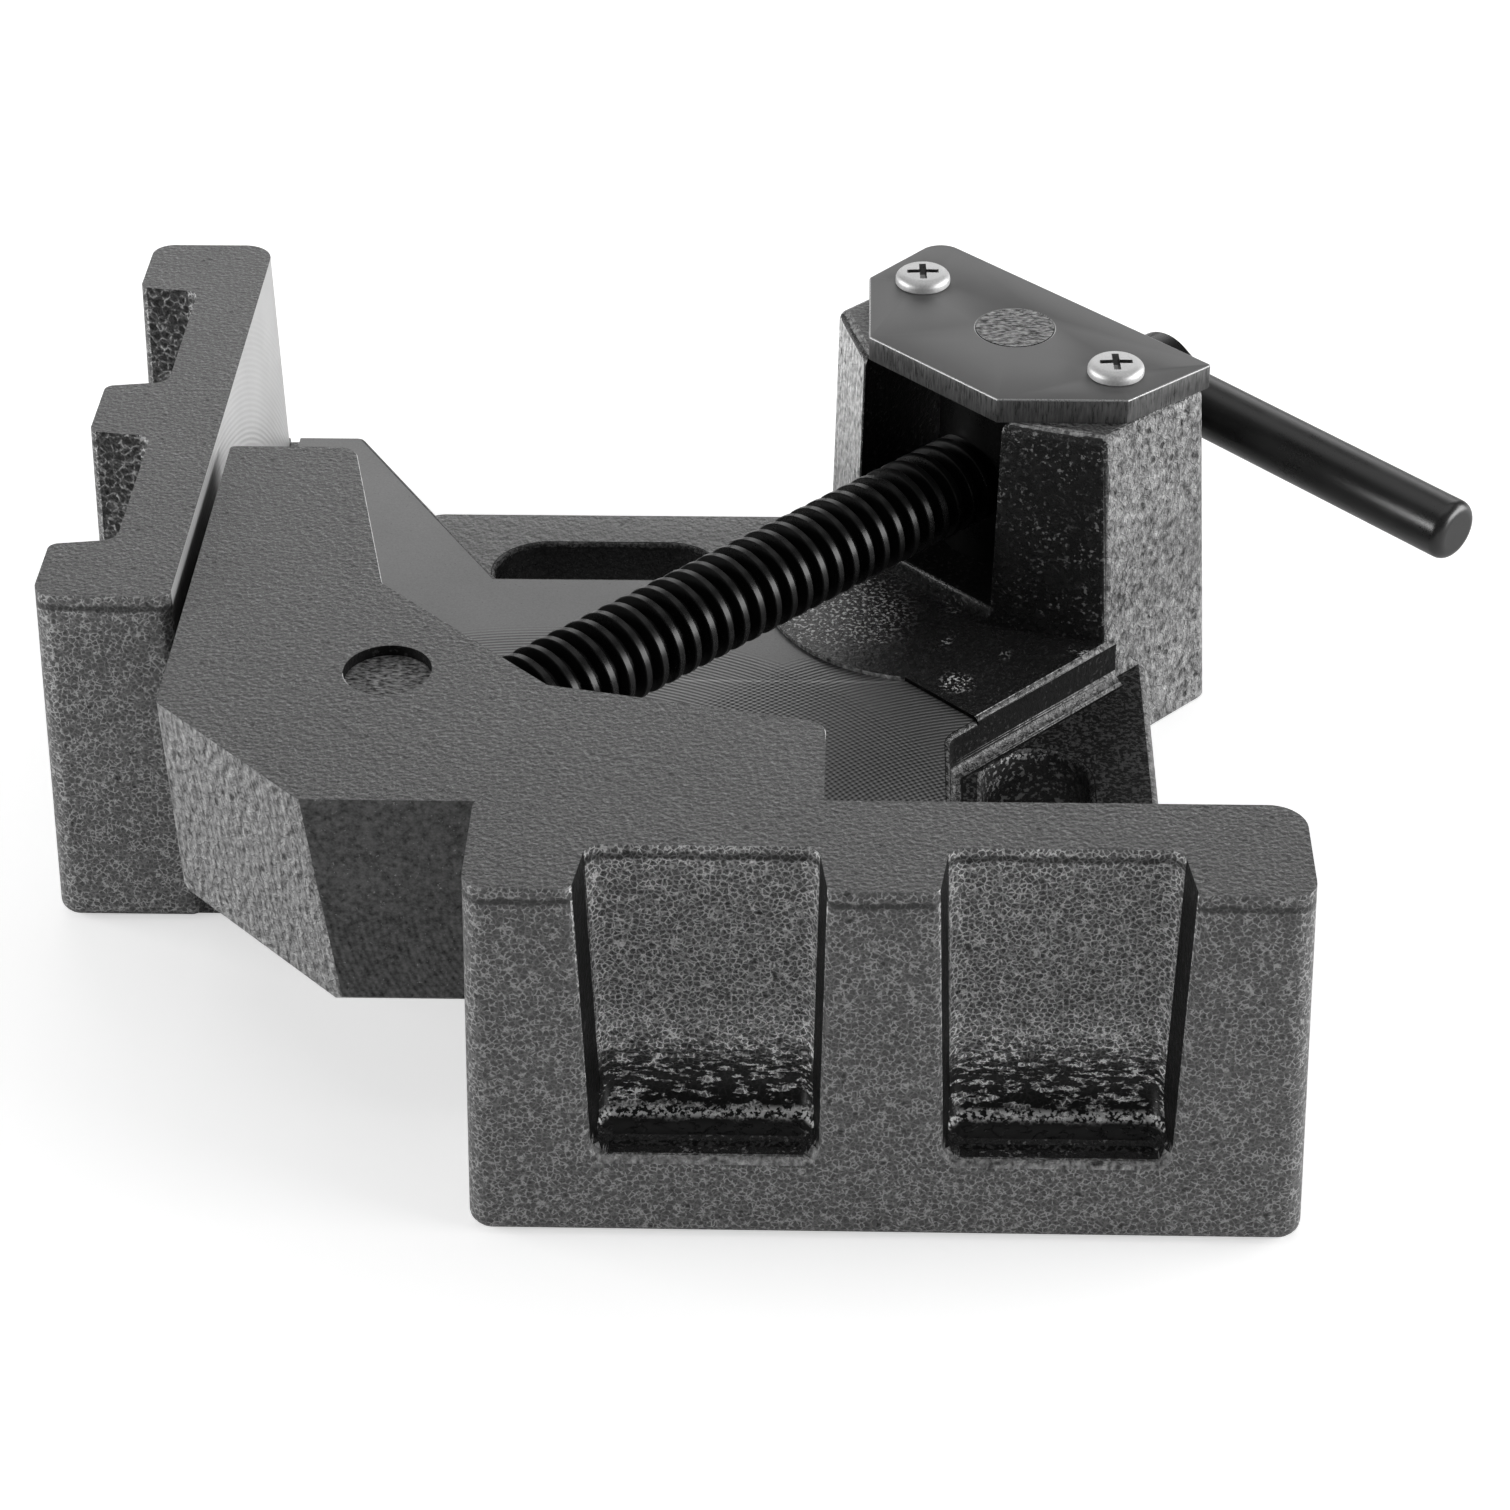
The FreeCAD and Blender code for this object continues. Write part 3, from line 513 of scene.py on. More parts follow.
lumpy = {
    "tone": 0.012,
    "lumpScale": 0.75,
    "lumpTone": 0.008,
    "lumpRough": 0.15,
    "grainScale": 2.6,
    "grainHeight": 0.4,
    "speckScale": 1.1,
    "speckTone": 0.2,
    "speckHeight": 0.4,
    "speckRare": 0.58,
    "speckSoft": 0.08,
    "speckArea": 0.42,
    "areaScale": 0.12,
    "areaSoft": 0.15,
    # the places with more specks hold painted glints
    "glintSpots": (),  # x, y and reach of each place with more specks
    "roughness": 0.26,
    "specular": 0.5,
    "coat": 0.4,
    "coatRough": 0.2,
    "bump": 0.7,
    "depth": 0.0004,
}
# near-black copies of the paint for shaded places: painted shade, with light specks as painted
# glints
paintPocketShade = lumpyShadePaint("paintPocketShade", lumpy)
paintInnerShade = lumpyShadePaint(
    "paintInnerShade",
    lumpy
    | {
        "tone": 0.008,
        "lumpTone": 0.003,
        "speckTone": 0.03,
        "roughness": 0.5,
        "specular": 0.08,
        "coat": 0.0,
    },
)
paintSlotShade = lumpyShadePaint(
    "paintSlotShade",
    lumpy
    | {
        "tone": 0.03,
        "speckScale": 0.95,
        "speckTone": 0.4,
        "speckRare": 0.53,
        "speckArea": 0.9,
        "glintSpots": ((151.0, 88.0, 12.0),),
        "coat": 0.0,
    },
)
paintPadShade = lumpyShadePaint(
    "paintPadShade",
    lumpy
    | {
        "speckScale": 1.3,
        "speckTone": 0.8,
        "speckRare": 0.53,
        "speckArea": 0.6,
        "glintSpots": ((113.0, 125.0, 20.0), (138.0, 99.0, 4.0)),
        "specular": 0.35,
        "coat": 0.15,
    },
)
paintFlangeShade = lumpyShadePaint(
    "paintFlangeShade",
    lumpy
    | {
        "tone": 0.006,
        "lumpTone": 0.006,
        "speckScale": 1.4,
        "speckTone": 0.05,
        "speckRare": 0.5,
        "speckArea": 0.0,
        "roughness": 0.45,
        "specular": 0.15,
        "coat": 0.0,
    },
)
paintRimShade = lumpyShadePaint(
    "paintRimShade",
    lumpy
    | {
        "tone": 0.014,
        "lumpScale": 1.2,
        "lumpTone": 0.024,
        "speckTone": 0.08,
        "speckRare": 0.46,
        "speckArea": 0.2,
        "specular": 0.35,
        "coat": 0.1,
    },
)

milled = {
    "tone": 0.135,
    "darkest": 0.004,
    "patch": 0.3,
    "patchScale": 0.05,
    "grainScale": 3.0,
    "grainTone": 0.03,
    "grainHeight": 0.3,
    "grainRough": 0.08,
    "speckScale": 1.6,
    "speckTone": -0.08,
    "speckRare": (0.66, 0.74),
    "metallic": 0.6,
    "roughness": 0.4,
    "bump": 0.6,
    "depth": 0.0001,
    "axes": (0, 1),
    "rings": (  # centre on the two axes, pitch, amount, nearest and farthest
        (150.0, 30.0, 0.95, 0.6, 20.0, 90.0),
        (60.0, 30.0, 0.95, 0.6, 20.0, 90.0),
    ),
    "ringSoft": 6.0,
    "markTone": 0.06,
    "markFade": 14.0,
    "underJawShadeEnd": (104.0, 114.0),
    "underJawShadeTop": (64.0, 68.0),
    "stepBand": (0.1, 0.45),
    "stepFrom": (80.0, 90.0),
}
floorIron = milledIron(
    "floorIron",
    milled
    | {"tone": 0.16, "markTone": 0.13, "grainTone": 0.06, "step": 100.3, "stepTone": 0.12},
)
jawFace = milled | {"underJawShade": 0.75, "rings": ((95.0, -40.0, 1.1, 0.3, 40.0, 130.0),)}
# the side jaw's face is lighter than the front jaw's face of the same machining: painted light
sideFaceIronLit = milledIron("sideFaceIronLit", jawFace | {"tone": 0.66, "axes": (1, 2)})
frontFaceIron = milledIron("frontFaceIron", jawFace | {"tone": 0.35, "axes": (0, 2)})
blockFace = milled | {
    "tone": 0.085,
    "grainScale": 1.1,
    "grainTone": 0.14,
    "speckTone": 0.2,
    "markTop": 50.0,
    "rings": ((76.5, 44.0, 1.15, 0.3, 14.0, 60.0),),
}
blockFrontIron = milledIron("blockFrontIron", blockFace | {"axes": (0, 2)})
blockSideIron = milledIron("blockSideIron", blockFace | {"axes": (1, 2)})

steel = {
    "tone": 0.02,
    "patch": 0.4,
    "patchScale": 0.12,
    "patchRough": 0.2,
    "stretch": (1.0, 1.0, 1.0),
    "grainScale": 3.0,
    "grainTone": 0.004,
    "grainRough": 0.1,
    "metallic": 0.75,
    "roughness": 0.3,
    "bump": 0.12,
    "depth": 0.00005,
}
threadSteel = plainSteel("threadSteel", steel)
barSteel = plainSteel("barSteel", steel | {"tone": 0.06, "roughness": 0.32})
plateSteel = plainSteel("plateSteel", steel | {"tone": 0.12, "metallic": 0.3, "roughness": 0.5})
shearedSteel = plainSteel(
    "shearedSteel",
    steel | {"tone": 0.085, "grainTone": 0.13, "metallic": 0.3, "stretch": (1.0, 1.0, 0.12)},
)
# a lighter steel for the plate's top edge: painted highlight
edgeHighlightSteel = plainSteel("edgeHighlightSteel", steel | {"tone": 0.3, "grainTone": 0.15, "metallic": 0.5})
zincSteel = plainSteel(
    "zincSteel",
    steel | {"tone": 0.62, "grainTone": 0.15, "metallic": 0.65, "roughness": 0.5},
)
# darker steel inside the screws' cross: painted shade
recessSteelShade = plainSteel("recessSteelShade", steel | {"tone": 0.3, "grainTone": 0.2, "metallic": 1.0})
brightSteel = plainSteel("brightSteel", steel | {"tone": 0.45, "metallic": 1.0})
# bare iron on the moving jaw's rubbed edges, also painted light as a highlight
rubbedIronHighlit = plainSteel(
    "rubbedIronHighlit",
    steel
    | {
        "tone": 0.58,
        "grainScale": 1.2,
        "grainTone": 0.75,
        "metallic": 0.1,
        "roughness": 0.45,
    },
)
rawIron = plainSteel(
    "rawIron",
    steel
    | {
        "tone": 0.21,
        "stretch": (0.6, 1.3, 1.0),
        "grainScale": 1.3,
        "grainTone": 0.9,
        "metallic": 0.2,
        "roughness": 0.45,
        "bump": 1.0,
        "depth": 0.0012,
    },
)
print("materials made")


joinWithin = 0.001 * mm


def addPiece(name, mesh, body, replaced=()):
    piece = bpy.data.objects.new(name, mesh)
    bpy.context.scene.collection.objects.link(piece)
    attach(piece, body)
    if replaced:
        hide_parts(*replaced)
    return piece


# a joined copy of a frame node, with flat areas as single faces
def joinedCopy(node, flatness=0.4):
    work = bmesh.new()
    work.from_mesh(frame["nodes"][node].data)
    bmesh.ops.remove_doubles(work, verts=work.verts, dist=2 * joinWithin)
    bmesh.ops.dissolve_limit(
        work,
        angle_limit=math.radians(flatness),
        verts=work.verts,
        edges=work.edges,
        delimit=set(),
    )
    return work


def joinAndTurnOut(work):
    bmesh.ops.remove_doubles(work, verts=work.verts, dist=joinWithin)
    bmesh.ops.recalc_face_normals(work, faces=work.faces)


def softenEdges(work, edges, width, segments):
    bmesh.ops.bevel(
        work,
        geom=edges,
        offset=width,
        offset_type="OFFSET",
        segments=segments,
        profile=0.5,
        affect="EDGES",
        clamp_overlap=True,
        material=-1,
    )


# gives each face the finish that choose(face) names, out of a dictionary
def paintFaces(work, finishes, choose):
    work.normal_update()
    order = list(finishes)
    for face in work.faces:
        face.material_index = order.index(choose(face))


# the finished mesh, smooth but for edges sharper than smoothTo
def toMesh(name, work, finishes, smoothTo=32.0):
    bmesh.ops.triangulate(work, faces=[f for f in work.faces if len(f.verts) > 4])
    for face in work.faces:
        face.smooth = True
    for edge in work.edges:
        outer = len(edge.link_faces) != 2
        edge.smooth = outer or edge.calc_face_angle(0) < math.radians(smoothTo)
    mesh = bpy.data.meshes.new(name)
    work.to_mesh(mesh)
    work.free()
    for material in finishes.values():
        mesh.materials.append(material)
    return mesh


casting = {
    "slack": 0.06,
    "floorLevel": 24.5,
    "padLevel": 25.3,
    "flangeLevel": 16.0,
    "jawOuter": -24.0,
    "jawTop": 68.0,
    "endUpTo": 70.0,
    "pocketFrom": 72.0,
    "pocketTo": 178.0,
    "pocketOuter": -12.0,
    "pocketLow": 14.0,
    "pocketLip": 17.5,
    "pocketTop": 68.9,
    "slotCentre": (152.5, 68.1),
    "slotReach": (11.0, 23.0),
    "slotTop": 15.5,
    "edgeLow": 14.5,
    "finishes": {
        "top": paintTop,
        "side": paintSide,
        "floor": floorIron,
        "sideFace": sideFaceIronLit,
        "frontFace": frontFaceIron,
        "pad": paintPadShade,
        "dark": paintPocketShade,
        "coarse": paintCoarseLit,
        "flange": paintFlangeShade,
        "rim": paintRimShade,
        "pocketBack": paintBack,
        "inner": paintInnerShade,
        "pocketWall": paintWallShaded,
        "slot": paintSlotShade,
        "lit": paintLit,
        "far": paintFarLit,
        "pocketBackSide": paintBackSideShaded,
        "end": paintEndLit,
    },
}
tower = {
    "start": 180.0,
    "sides": 185.0,
    "cheekFrom": 30.0,
    "foot": 5.0,
    "sill": 25.5,
    "cavityHalf": 18.6,
}


# inside a jaw's pockets: run goes along the jaw, out is negative outside its
# face, and outward is the face's normal on that axis
def pocketFinish(run, out, outward, normal, level):
    inRun = casting["pocketFrom"] < run < casting["pocketTo"]
    if not (inRun and out < casting["pocketOuter"] and level > casting["pocketLow"]):
        return None
    if out < casting["jawOuter"]:
        lip = level < casting["pocketLip"] and 0.45 < normal.z < 0.97
        return "coarse" if lip else None
    if level > casting["pocketTop"]:
        return None
    # the front jaw's back walls get lighter veins as painted light and the side jaw's a darker
    # copy as painted shade; the other pocket faces get painted shade
    if outward < -0.3:
        return "pocketBack" if normal.y < -0.3 else "pocketBackSide"
    if normal.z > 0.5:
        return "dark"
    return "pocketWall" if normal.y < -0.5 else "inner"


# on the tower: u goes along the screw and v across it
def towerFinish(u, v, level, normal):
    if u < tower["start"]:
        return None
    facing = normal.dot(along)
    if level > tower["sill"]:
        # the cavity and the faces turned back to the corner get painted shade, the left cheek's
        # front painted light
        if abs(v) < tower["cavityHalf"] and abs(facing) < 0.5:
            return "inner"
        if v > 0.0 and normal.x < -0.9:
            return "lit"
        if facing < -0.5:
            return "dark"
    if abs(v) > tower["cheekFrom"] and abs(normal.z) < 0.4:
        return "coarse"
    return "coarse" if u > tower["sides"] and level > tower["foot"] else None


# between the jaws: the flanges' rims and slots, and the floor's edge
def flangeFinish(x, y, level, normal):
    if min(x, y) < 0.5 or level < 1.0:
        return None
    # rims, slots and step walls get painted shade, faces above the floor level painted light
    if 0.45 < normal.z < 0.97:
        return "rim"
    if level > casting["floorLevel"] + 0.1:
        return "lit"
    far = abs(max(x, y) - casting["slotCentre"][0])
    near = abs(min(x, y) - casting["slotCentre"][1])
    inSlot = far < casting["slotReach"][0] and near < casting["slotReach"][1]
    if inSlot and level < casting["slotTop"]:
        return "slot"
    return "inner" if level > casting["edgeLow"] else "side"


def levelFinish(x, y, level):
    if abs(level - casting["floorLevel"]) < casting["slack"]:
        return "floor"
    if abs(level - casting["padLevel"]) < casting["slack"]:
        return "pad"
    if abs(level - casting["flangeLevel"]) < casting["slack"]:
        # the near flange gets painted shade and the far flange painted light
        return "flange" if x > y else "far"
    return "top" if level > casting["jawTop"] else None


# the finish of a face of the casting, from where it is and where it looks
def castingFinish(face):
    normal = face.normal
    x, y, z = (part / mm for part in face.calc_center_median())
    if normal.z > 0.99:
        flat = levelFinish(x, y, z)
        if flat:
            return flat
    if normal.x > 0.99 and abs(x) < casting["slack"]:
        return "sideFace"
    if normal.y > 0.99 and abs(y) < casting["slack"]:
        return "frontFace"
    # the side jaw's end gets painted light
    if x < 0.0 and normal.y < -0.9 and y < casting["endUpTo"]:
        return "end"
    return (
        pocketFinish(x, y, normal.y, normal, z)
        or pocketFinish(y, x, normal.x, normal, z)
        or towerFinish((x + y) * half, (y - x) * half, z, normal)
        or flangeFinish(x, y, z, normal)
        or "side"
    )


def makeCasting():
    work = joinedCopy("frame_casting")
    paintFaces(work, casting["finishes"], castingFinish)
    mesh = toMesh("frame_casting", work, casting["finishes"])
    addPiece("frame_casting_cast", mesh, "frame", ["frame_casting"])


block = {
    "top": 66.6,
    "swivelAt": (40.0, 40.0),
    "boreReach": 12.0,
    "rubbedEdge": 0.45,
    "rubbedFacing": 0.72,
    "rubbedDepth": 0.5,
    "finishes": {
        "top": paintTop,
        "cast": paintCoarseLit,
        "front": blockFrontIron,
        "side": blockSideIron,
        "bore": paintInnerShade,
        "rubbed": rubbedIronHighlit,
    },
}


# the top edges that look towards the screw, rubbed down to bare iron and painted lighter still as
# a highlight
def rubbedEdges(work):
    found = []
    for edge in work.edges:
        onTop = all(abs(vert.co.z / mm - block["top"]) < 0.1 for vert in edge.verts)
        facing = max(face.normal.dot(along) for face in edge.link_faces)
        if onTop and facing > block["rubbedFacing"]:
            found.append(edge)
    return found


def blockFinish(face):
    normal = face.normal
    middle = face.calc_center_median() / mm
    off = math.dist(middle[:2], block["swivelAt"])
    if abs(normal.z) < 0.5 and off < block["boreReach"]:
        return "bore"
    if 0.3 < normal.z < 0.9 and middle.z > block["top"] - block["rubbedDepth"]:
        return "rubbed"
    if normal.z > 0.9:
        return "top"
    if normal.y < -0.95:
        return "front"
    return "side" if normal.x < -0.95 else "cast"


def makeBlock():
    work = joinedCopy("moving_jaw")
    work.normal_update()
    softenEdges(work, rubbedEdges(work), block["rubbedEdge"] * mm, 1)
    paintFaces(work, block["finishes"], blockFinish)
    mesh = toMesh("moving_jaw", work, block["finishes"])
    addPiece("moving_jaw_cast", mesh, "moving_jaw", ["moving_jaw"])


# spins an outline, given as points, once round an axis through centre
def turnRound(work, outline, centre, axis, steps):
    verts = [work.verts.new(point) for point in outline]
    edges = [work.edges.new(pair) for pair in zip(verts, verts[1:])]
    bmesh.ops.spin(
        work,
        geom=verts + edges,
        cent=centre,
        axis=axis,
        angle=2 * math.pi,
        steps=steps,
        use_merge=True,
    )
    joinAndTurnOut(work)


# stations along the screw are measured from the corner of the two jaws
thread = {
    "start": 72.0,
    "end": 238.0,
    "height": 46.2,
    "pitch": 4.0,
    "crestRadius": 9.0,
    "rootRadius": 6.75,
    "crestWidth": 1.46,
    "flank": 15.0,
    "cornerRound": 0.16,
    "cornerLean": 0.26,
    "sunk": 0.3,
    "coreInset": 0.5,
    "coreSteps": 64,
    "steps": 48,
}


def spindlePoint(station, outward):
    centre = along * (station * mm) + upward * (thread["height"] * mm)
    return centre + across * (outward * mm)


# one turn's section, with its foot sunk in the core
def threadSection():
    u = thread["start"]
    foot = thread["rootRadius"] - thread["sunk"]
    top = thread["crestRadius"]
    lean = (top - foot) * math.tan(math.radians(thread["flank"]))
    far = u + lean + thread["crestWidth"]
    corner = thread["cornerRound"]
    back = corner * thread["cornerLean"]
    return [
        (u, foot),
        (u + lean - back, top - corner),
        (u + lean + corner, top),
        (far - corner, top),
        (far + back, top - corner),
        (far + lean, foot),
    ]


def makeThread():
    work = bmesh.new()
    verts = [work.verts.new(spindlePoint(u, r)) for u, r in threadSection()]
    work.faces.new(verts)  # the cap at the start
    rim = [work.verts.new(vert.co) for vert in verts]
    loop = [work.edges.new(pair) for pair in zip(rim, rim[1:] + rim[:1])]
    turns = (thread["end"] - thread["start"]) / thread["pitch"] - 1.0
    steps = round(turns * thread["steps"])
    swept = bmesh.ops.spin(
        work,
        geom=rim + loop,
        cent=spindlePoint(0.0, 0.0),
        axis=along,
        dvec=along * (thread["pitch"] * mm / thread["steps"]),
        angle=2 * math.pi * steps / thread["steps"],
        steps=steps,
        use_duplicate=False,
        use_merge=False,
    )
    endings = (bmesh.types.BMVert, bmesh.types.BMEdge)
    lastRim = [part for part in swept["geom_last"] if isinstance(part, endings)]
    bmesh.ops.contextual_create(work, geom=lastRim)
    joinAndTurnOut(work)
    return work


# the frame's screw, with the bar between two stations turned down to the core
def makeSpindle():
    start, end = thread["start"], thread["end"]
    work = joinedCopy("spindle", 0.1)
    for station in (start, end):
        geom = list(work.verts) + list(work.edges) + list(work.faces)
        bmesh.ops.bisect_plane(work, geom=geom, plane_co=along * (station * mm), plane_no=along)
    middle = []
    for face in work.faces:
        if start < face.calc_center_median().dot(along) / mm < end:
            middle.append(face)
    bmesh.ops.delete(work, geom=middle, context="FACES")
    cutEdges = [edge for edge in work.edges if len(edge.link_faces) == 1]
    bmesh.ops.holes_fill(work, edges=cutEdges, sides=0)
    core, inset = thread["rootRadius"], thread["coreInset"]
    bar = [(start - inset, 0.0), (start - inset, core), (end + inset, core), (end + inset, 0.0)]
    outline = [spindlePoint(u, r) for u, r in bar]
    turnRound(work, outline, spindlePoint(0.0, 0.0), along, thread["coreSteps"])
    black = {"all": threadSteel}
    mesh = toMesh("spindle", work, black)
    addPiece("spindle_turned", mesh, "spindle", ["spindle"])
    ridge = toMesh("spindle_thread", makeThread(), black, 20.0)
    addPiece("spindle_thread", ridge, "spindle")


# heights are above the floor, and radii from the screw's own axis
screw = {
    "headRadius": 5.35,
    "headLow": 74.0,
    "headHigh": 76.5,
    "rimHeight": 0.9,
    "crownRadius": 3.6,
    "crownSteps": 8,
    "shankRadius": 3.2,
    "tipRadius": 2.24,
    "tipLow": 0.4,
    "tipHigh": 1.2,
    "steps": 48,
    "recessHalf": 0.72,
    "recessReach": 3.5,
    "recessClear": 0.6,
    "recessDepth": 1.9,
    "recessDeepHalf": 0.504,
    "recessDeepReach": 1.925,
    "turn": 2.0,
    "finishes": {"zinc": zincSteel, "recess": recessSteelShade},
}


# from the shank's end up to the middle of the crown
def screwOutline(foot):
    radius, shank, crown = screw["headRadius"], screw["shankRadius"], screw["crownRadius"]
    base, top = screw["headLow"], screw["headHigh"]
    rim = base + screw["rimHeight"]
    tip = foot + screw["tipLow"]
    points = [(0.0, tip), (screw["tipRadius"], tip), (shank, foot + screw["tipHigh"])]
    points += [(shank, base - 0.02), (radius * 0.97, base + 0.01)]
    points += [(radius, base + 0.2), (radius, rim)]
    for step in range(1, screw["crownSteps"] + 1):
        turn = step / screw["crownSteps"] * math.pi / 2
        outward = crown + (radius - crown) * math.cos(turn)
        points.append((outward, rim + (top - rim - 0.1) * math.sin(turn)))
    return points + [(0.0, top)]


# one arm of the cross, narrower at its bottom
def recessTool(centre, degrees):
    tool = bmesh.new()
    bmesh.ops.create_cube(tool, size=1.0)
    for vert in tool.verts:
        if vert.co.z < 0:
            reach, wide = screw["recessDeepReach"], screw["recessDeepHalf"]
            level = screw["headHigh"] - screw["recessDepth"]
        else:
            reach, wide = screw["recessReach"], screw["recessHalf"]
            level = screw["headHigh"] + screw["recessClear"]
        vert.co.x *= 2 * reach * mm
        vert.co.y *= 2 * wide * mm
        vert.co.z = level * mm
    shift = Matrix.Translation((centre.x, centre.y, 0.0))
    spin = Matrix.Rotation(math.radians(degrees), 4, "Z")
    bmesh.ops.transform(tool, matrix=shift @ spin, verts=tool.verts)
    mesh = bpy.data.meshes.new("tool")
    tool.to_mesh(mesh)
    tool.free()
    return bpy.data.objects.new("tool", mesh)


# cuts the cross out of a screw's mesh, and gives the result as a new mesh
def crossCut(mesh, centre):
    scene = bpy.context.scene
    blank = bpy.data.objects.new("blank", mesh)
    scene.collection.objects.link(blank)
    tools = [recessTool(centre, screw["turn"] + extra) for extra in (0, 90)]
    for tool in tools:
        scene.collection.objects.link(tool)
        cut = blank.modifiers.new("cut", "BOOLEAN")
        cut.operation = "DIFFERENCE"
        cut.solver = "EXACT"
        cut.object = tool
    graph = bpy.context.evaluated_depsgraph_get()
    result = bpy.data.meshes.new_from_object(blank.evaluated_get(graph))
    for used in [blank] + tools:
        bpy.data.objects.remove(used, do_unlink=True)
    return result


def makeCoverScrew(node):
    low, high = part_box(node)
    centre = (low + high) * 0.5
    work = bmesh.new()
    outline = []
    for radius, height in screwOutline(low.z / mm):
        outline.append((centre.x + radius * mm, centre.y, height * mm))
    turnRound(work, outline, (centre.x, centre.y, 0.0), upward, screw["steps"])
    solid = toMesh(node, work, {})
    work = bmesh.new()
    work.from_mesh(crossCut(solid, centre))
    bmesh.ops.remove_doubles(work, verts=work.verts, dist=joinWithin)

    def screwFinish(face):
        middle = face.calc_center_median()
        off = math.dist(middle[:2], centre[:2])
        cut = off < screw["crownRadius"] * mm and face.normal.z < 0.8
        return "recess" if cut and middle.z > screw["headLow"] * mm else "zinc"

    paintFaces(work, screw["finishes"], screwFinish)
    mesh = toMesh(node, work, screw["finishes"])
    addPiece(node + "_cross", mesh, "frame", [node])


plate = {
    "sharpFrom": 40.0,
    "edgeRound": 0.3,
    "upperHalf": 73.0,
    "finishes": {"face": plateSteel, "edge": shearedSteel, "edgeHighlight": edgeHighlightSteel},
}


# streaked where it was sheared, with a painted highlight: a bright line where the top turns over
def plateFinish(face):
    if face.normal.z > 0.98:
        return "face"
    upper = face.calc_center_median().z > plate["upperHalf"] * mm
    return "edgeHighlight" if upper and abs(face.normal.z) > 0.05 else "edge"


def makePlate():
    work = joinedCopy("cover_plate")
    limit = math.radians(plate["sharpFrom"])
    sharp = []
    for edge in work.edges:
        if len(edge.link_faces) == 2 and edge.calc_face_angle(0) > limit:
            sharp.append(edge)
    softenEdges(work, sharp, plate["edgeRound"] * mm, 2)
    paintFaces(work, plate["finishes"], plateFinish)
    mesh = toMesh("cover_plate", work, plate["finishes"])
    addPiece("cover_plate_pressed", mesh, "frame", ["cover_plate"])


# a turned pin whose upper end shows raw iron
def makePin(node, body):
    work = joinedCopy(node, 0.05)
    top = max(vert.co.z for vert in work.verts) - 0.3 * mm

    def pinFinish(face):
        onTop = face.normal.z > 0.9 and face.calc_center_median().z > top
        return "end" if onTop else "turned"

    finishes = {"end": rawIron, "turned": threadSteel}
    paintFaces(work, finishes, pinFinish)
    mesh = toMesh(node, work, finishes)
    addPiece(node + "_cast", mesh, body, [node])


# frame nodes that keep their shape and get a finish
plainFinishes = {
    "tommy_bar": barSteel,
    "keeper_plate": plateSteel,
    "keeper_screw_1": threadSteel,
    "keeper_screw_2": threadSteel,
    "keeper_screw_3": threadSteel,
    "keeper_screw_4": threadSteel,
    "rear_thrust_washer": brightSteel,
    "front_thrust_washer": brightSteel,
    "retaining_ring": threadSteel,
}


makeCasting()
print("casting made")
makeBlock()
print("moving jaw made")
makeSpindle()
print("spindle made")
makeCoverScrew("cover_screw_front")
makeCoverScrew("cover_screw_side")
makePlate()
makePin("trunnion_nut", "nut")
makePin("jaw_swivel", "swivel")
for node, material in plainFinishes.items():
    frame["nodes"][node].data.materials[0] = material
print("small pieces made")


# distances in mm, angles in degrees
view = {
    "target": (101.11, 65.52, 31.8),
    "distance": 661.94,
    "elevation": 35.01,
    "yaw": -2.18,
    "roll": -0.7,
    "lens": 87.675,
    "sensor": 36.0,
}


def makeCamera():
    tilt = math.radians(view["elevation"])
    yaw = math.radians(view["yaw"])
    roll = math.radians(view["roll"])
    forward = Vector(
        (math.sin(yaw) * math.cos(tilt), math.cos(yaw) * math.cos(tilt), -math.sin(tilt))
    )
    level = Vector((math.cos(yaw), -math.sin(yaw), 0.0))
    over = level.cross(forward)
    right = level * math.cos(roll) + over * math.sin(roll)
    top = over * math.cos(roll) - level * math.sin(roll)
    eye = (Vector(view["target"]) - forward * view["distance"]) * mm
    data = bpy.data.cameras.new("camera")
    data.lens = view["lens"]
    data.sensor_width = view["sensor"]
    data.sensor_fit = "HORIZONTAL"
    data.clip_start = 0.01
    data.clip_end = 50.0
    camera = bpy.data.objects.new("camera", data)
    bpy.context.scene.collection.objects.link(camera)
    turned = Matrix((right, top, -forward)).transposed().to_4x4()
    camera.matrix_world = Matrix.Translation(eye) @ turned
    bpy.context.scene.camera = camera


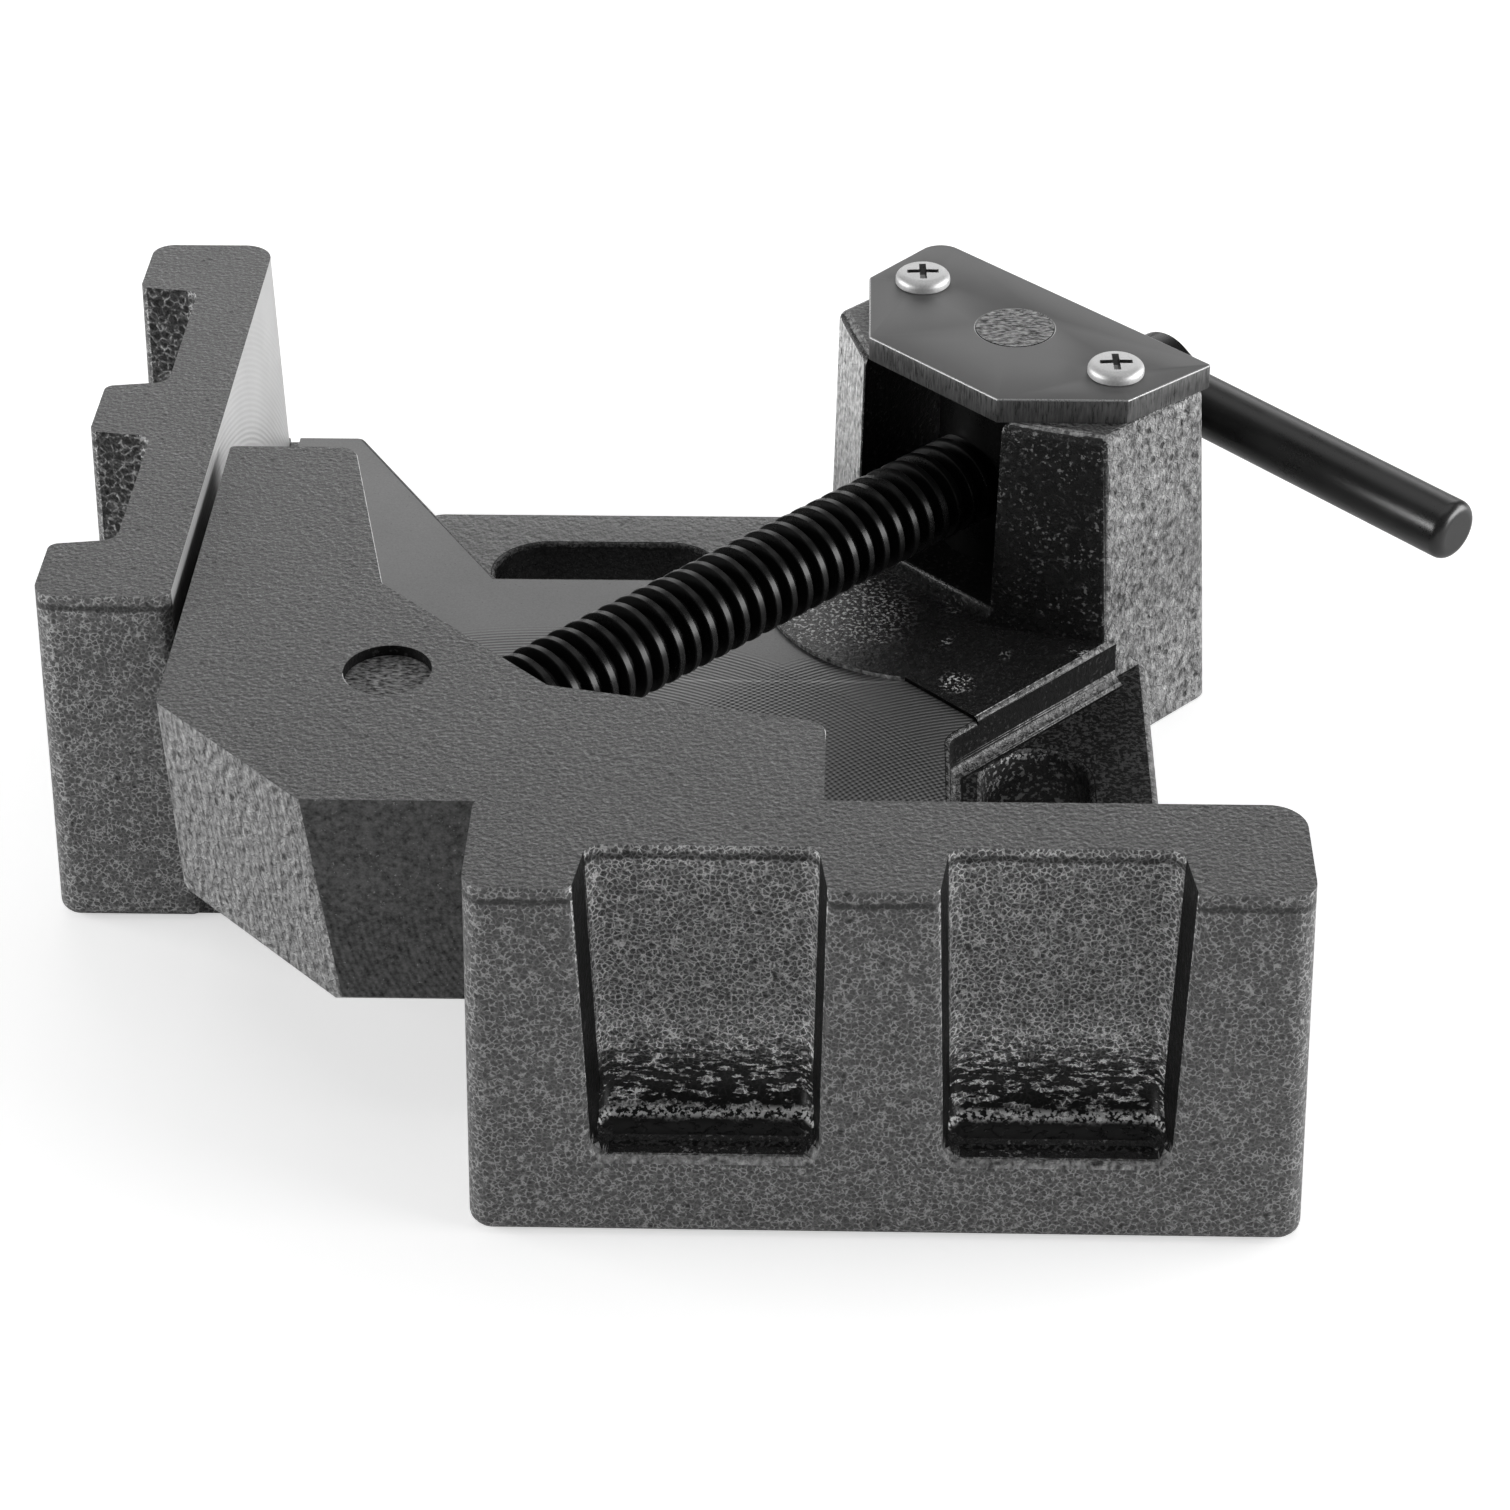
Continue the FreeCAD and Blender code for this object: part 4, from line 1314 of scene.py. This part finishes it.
# metres and watts
studio = {
    "floorHalf": 12.0,
    "floorLevel": -0.0002,
    "floorTone": 0.85,
    "seenGlow": 0.5,
    "ambient": 0.1,
    "aim": (0.08, 0.08, 0.03),
    "lamps": (  # name, place, width, height and power
        ("lampTop", (0.12, 0.3, 1.2), 1.3, 1.1, 3.3),
        ("lampLeft", (-1.1, -0.05, 0.3), 1.2, 0.5, 15.0),
        ("lampRight", (1.2, 0.05, 0.28), 1.2, 0.5, 17.0),
        ("lampBack", (0.1, 1.4, 0.6), 1.6, 0.7, 6.0),
    ),
}
white = (1.0, 1.0, 1.0, 1.0)


# glows for the camera only, so that it shows white and lights nothing
def palePaint():
    material, flow = emptyMaterial("floorPale")
    tone = studio["floorTone"]
    seen = flow.node("ShaderNodeLightPath", {}, {}, 0)
    sockets = {
        "Base Color": (tone, tone, tone, 1.0),
        "Roughness": 0.9,
        "Specular IOR Level": 0.0,
        "Emission Color": white,
        "Emission Strength": seen * studio["seenGlow"],
    }
    return finishMaterial(material, sockets)


def makeFloor():
    work = bmesh.new()
    bmesh.ops.create_grid(work, x_segments=1, y_segments=1, size=studio["floorHalf"])
    mesh = bpy.data.meshes.new("floor")
    work.to_mesh(mesh)
    work.free()
    mesh.materials.append(palePaint())
    ground = bpy.data.objects.new("floor", mesh)
    ground.location.z = studio["floorLevel"]
    bpy.context.scene.collection.objects.link(ground)


def makeLamps():
    world = bpy.data.worlds.new("studio")
    bpy.context.scene.world = world
    world.use_nodes = True
    back = world.node_tree.nodes["Background"]
    back.inputs["Color"].default_value = white
    back.inputs["Strength"].default_value = studio["ambient"]
    for name, place, wide, tall, power in studio["lamps"]:
        data = bpy.data.lights.new(name, "AREA")
        data.shape = "RECTANGLE"
        data.size = wide
        data.size_y = tall
        data.energy = power
        lamp = bpy.data.objects.new(name, data)
        bpy.context.scene.collection.objects.link(lamp)
        lamp.location = place
        aim = Vector(studio["aim"]) - Vector(place)
        lamp.rotation_euler = aim.to_track_quat("-Z", "Y").to_euler()


makeCamera()
makeFloor()
makeLamps()
bpy.context.scene.view_settings.view_transform = "Standard"
print("studio made")
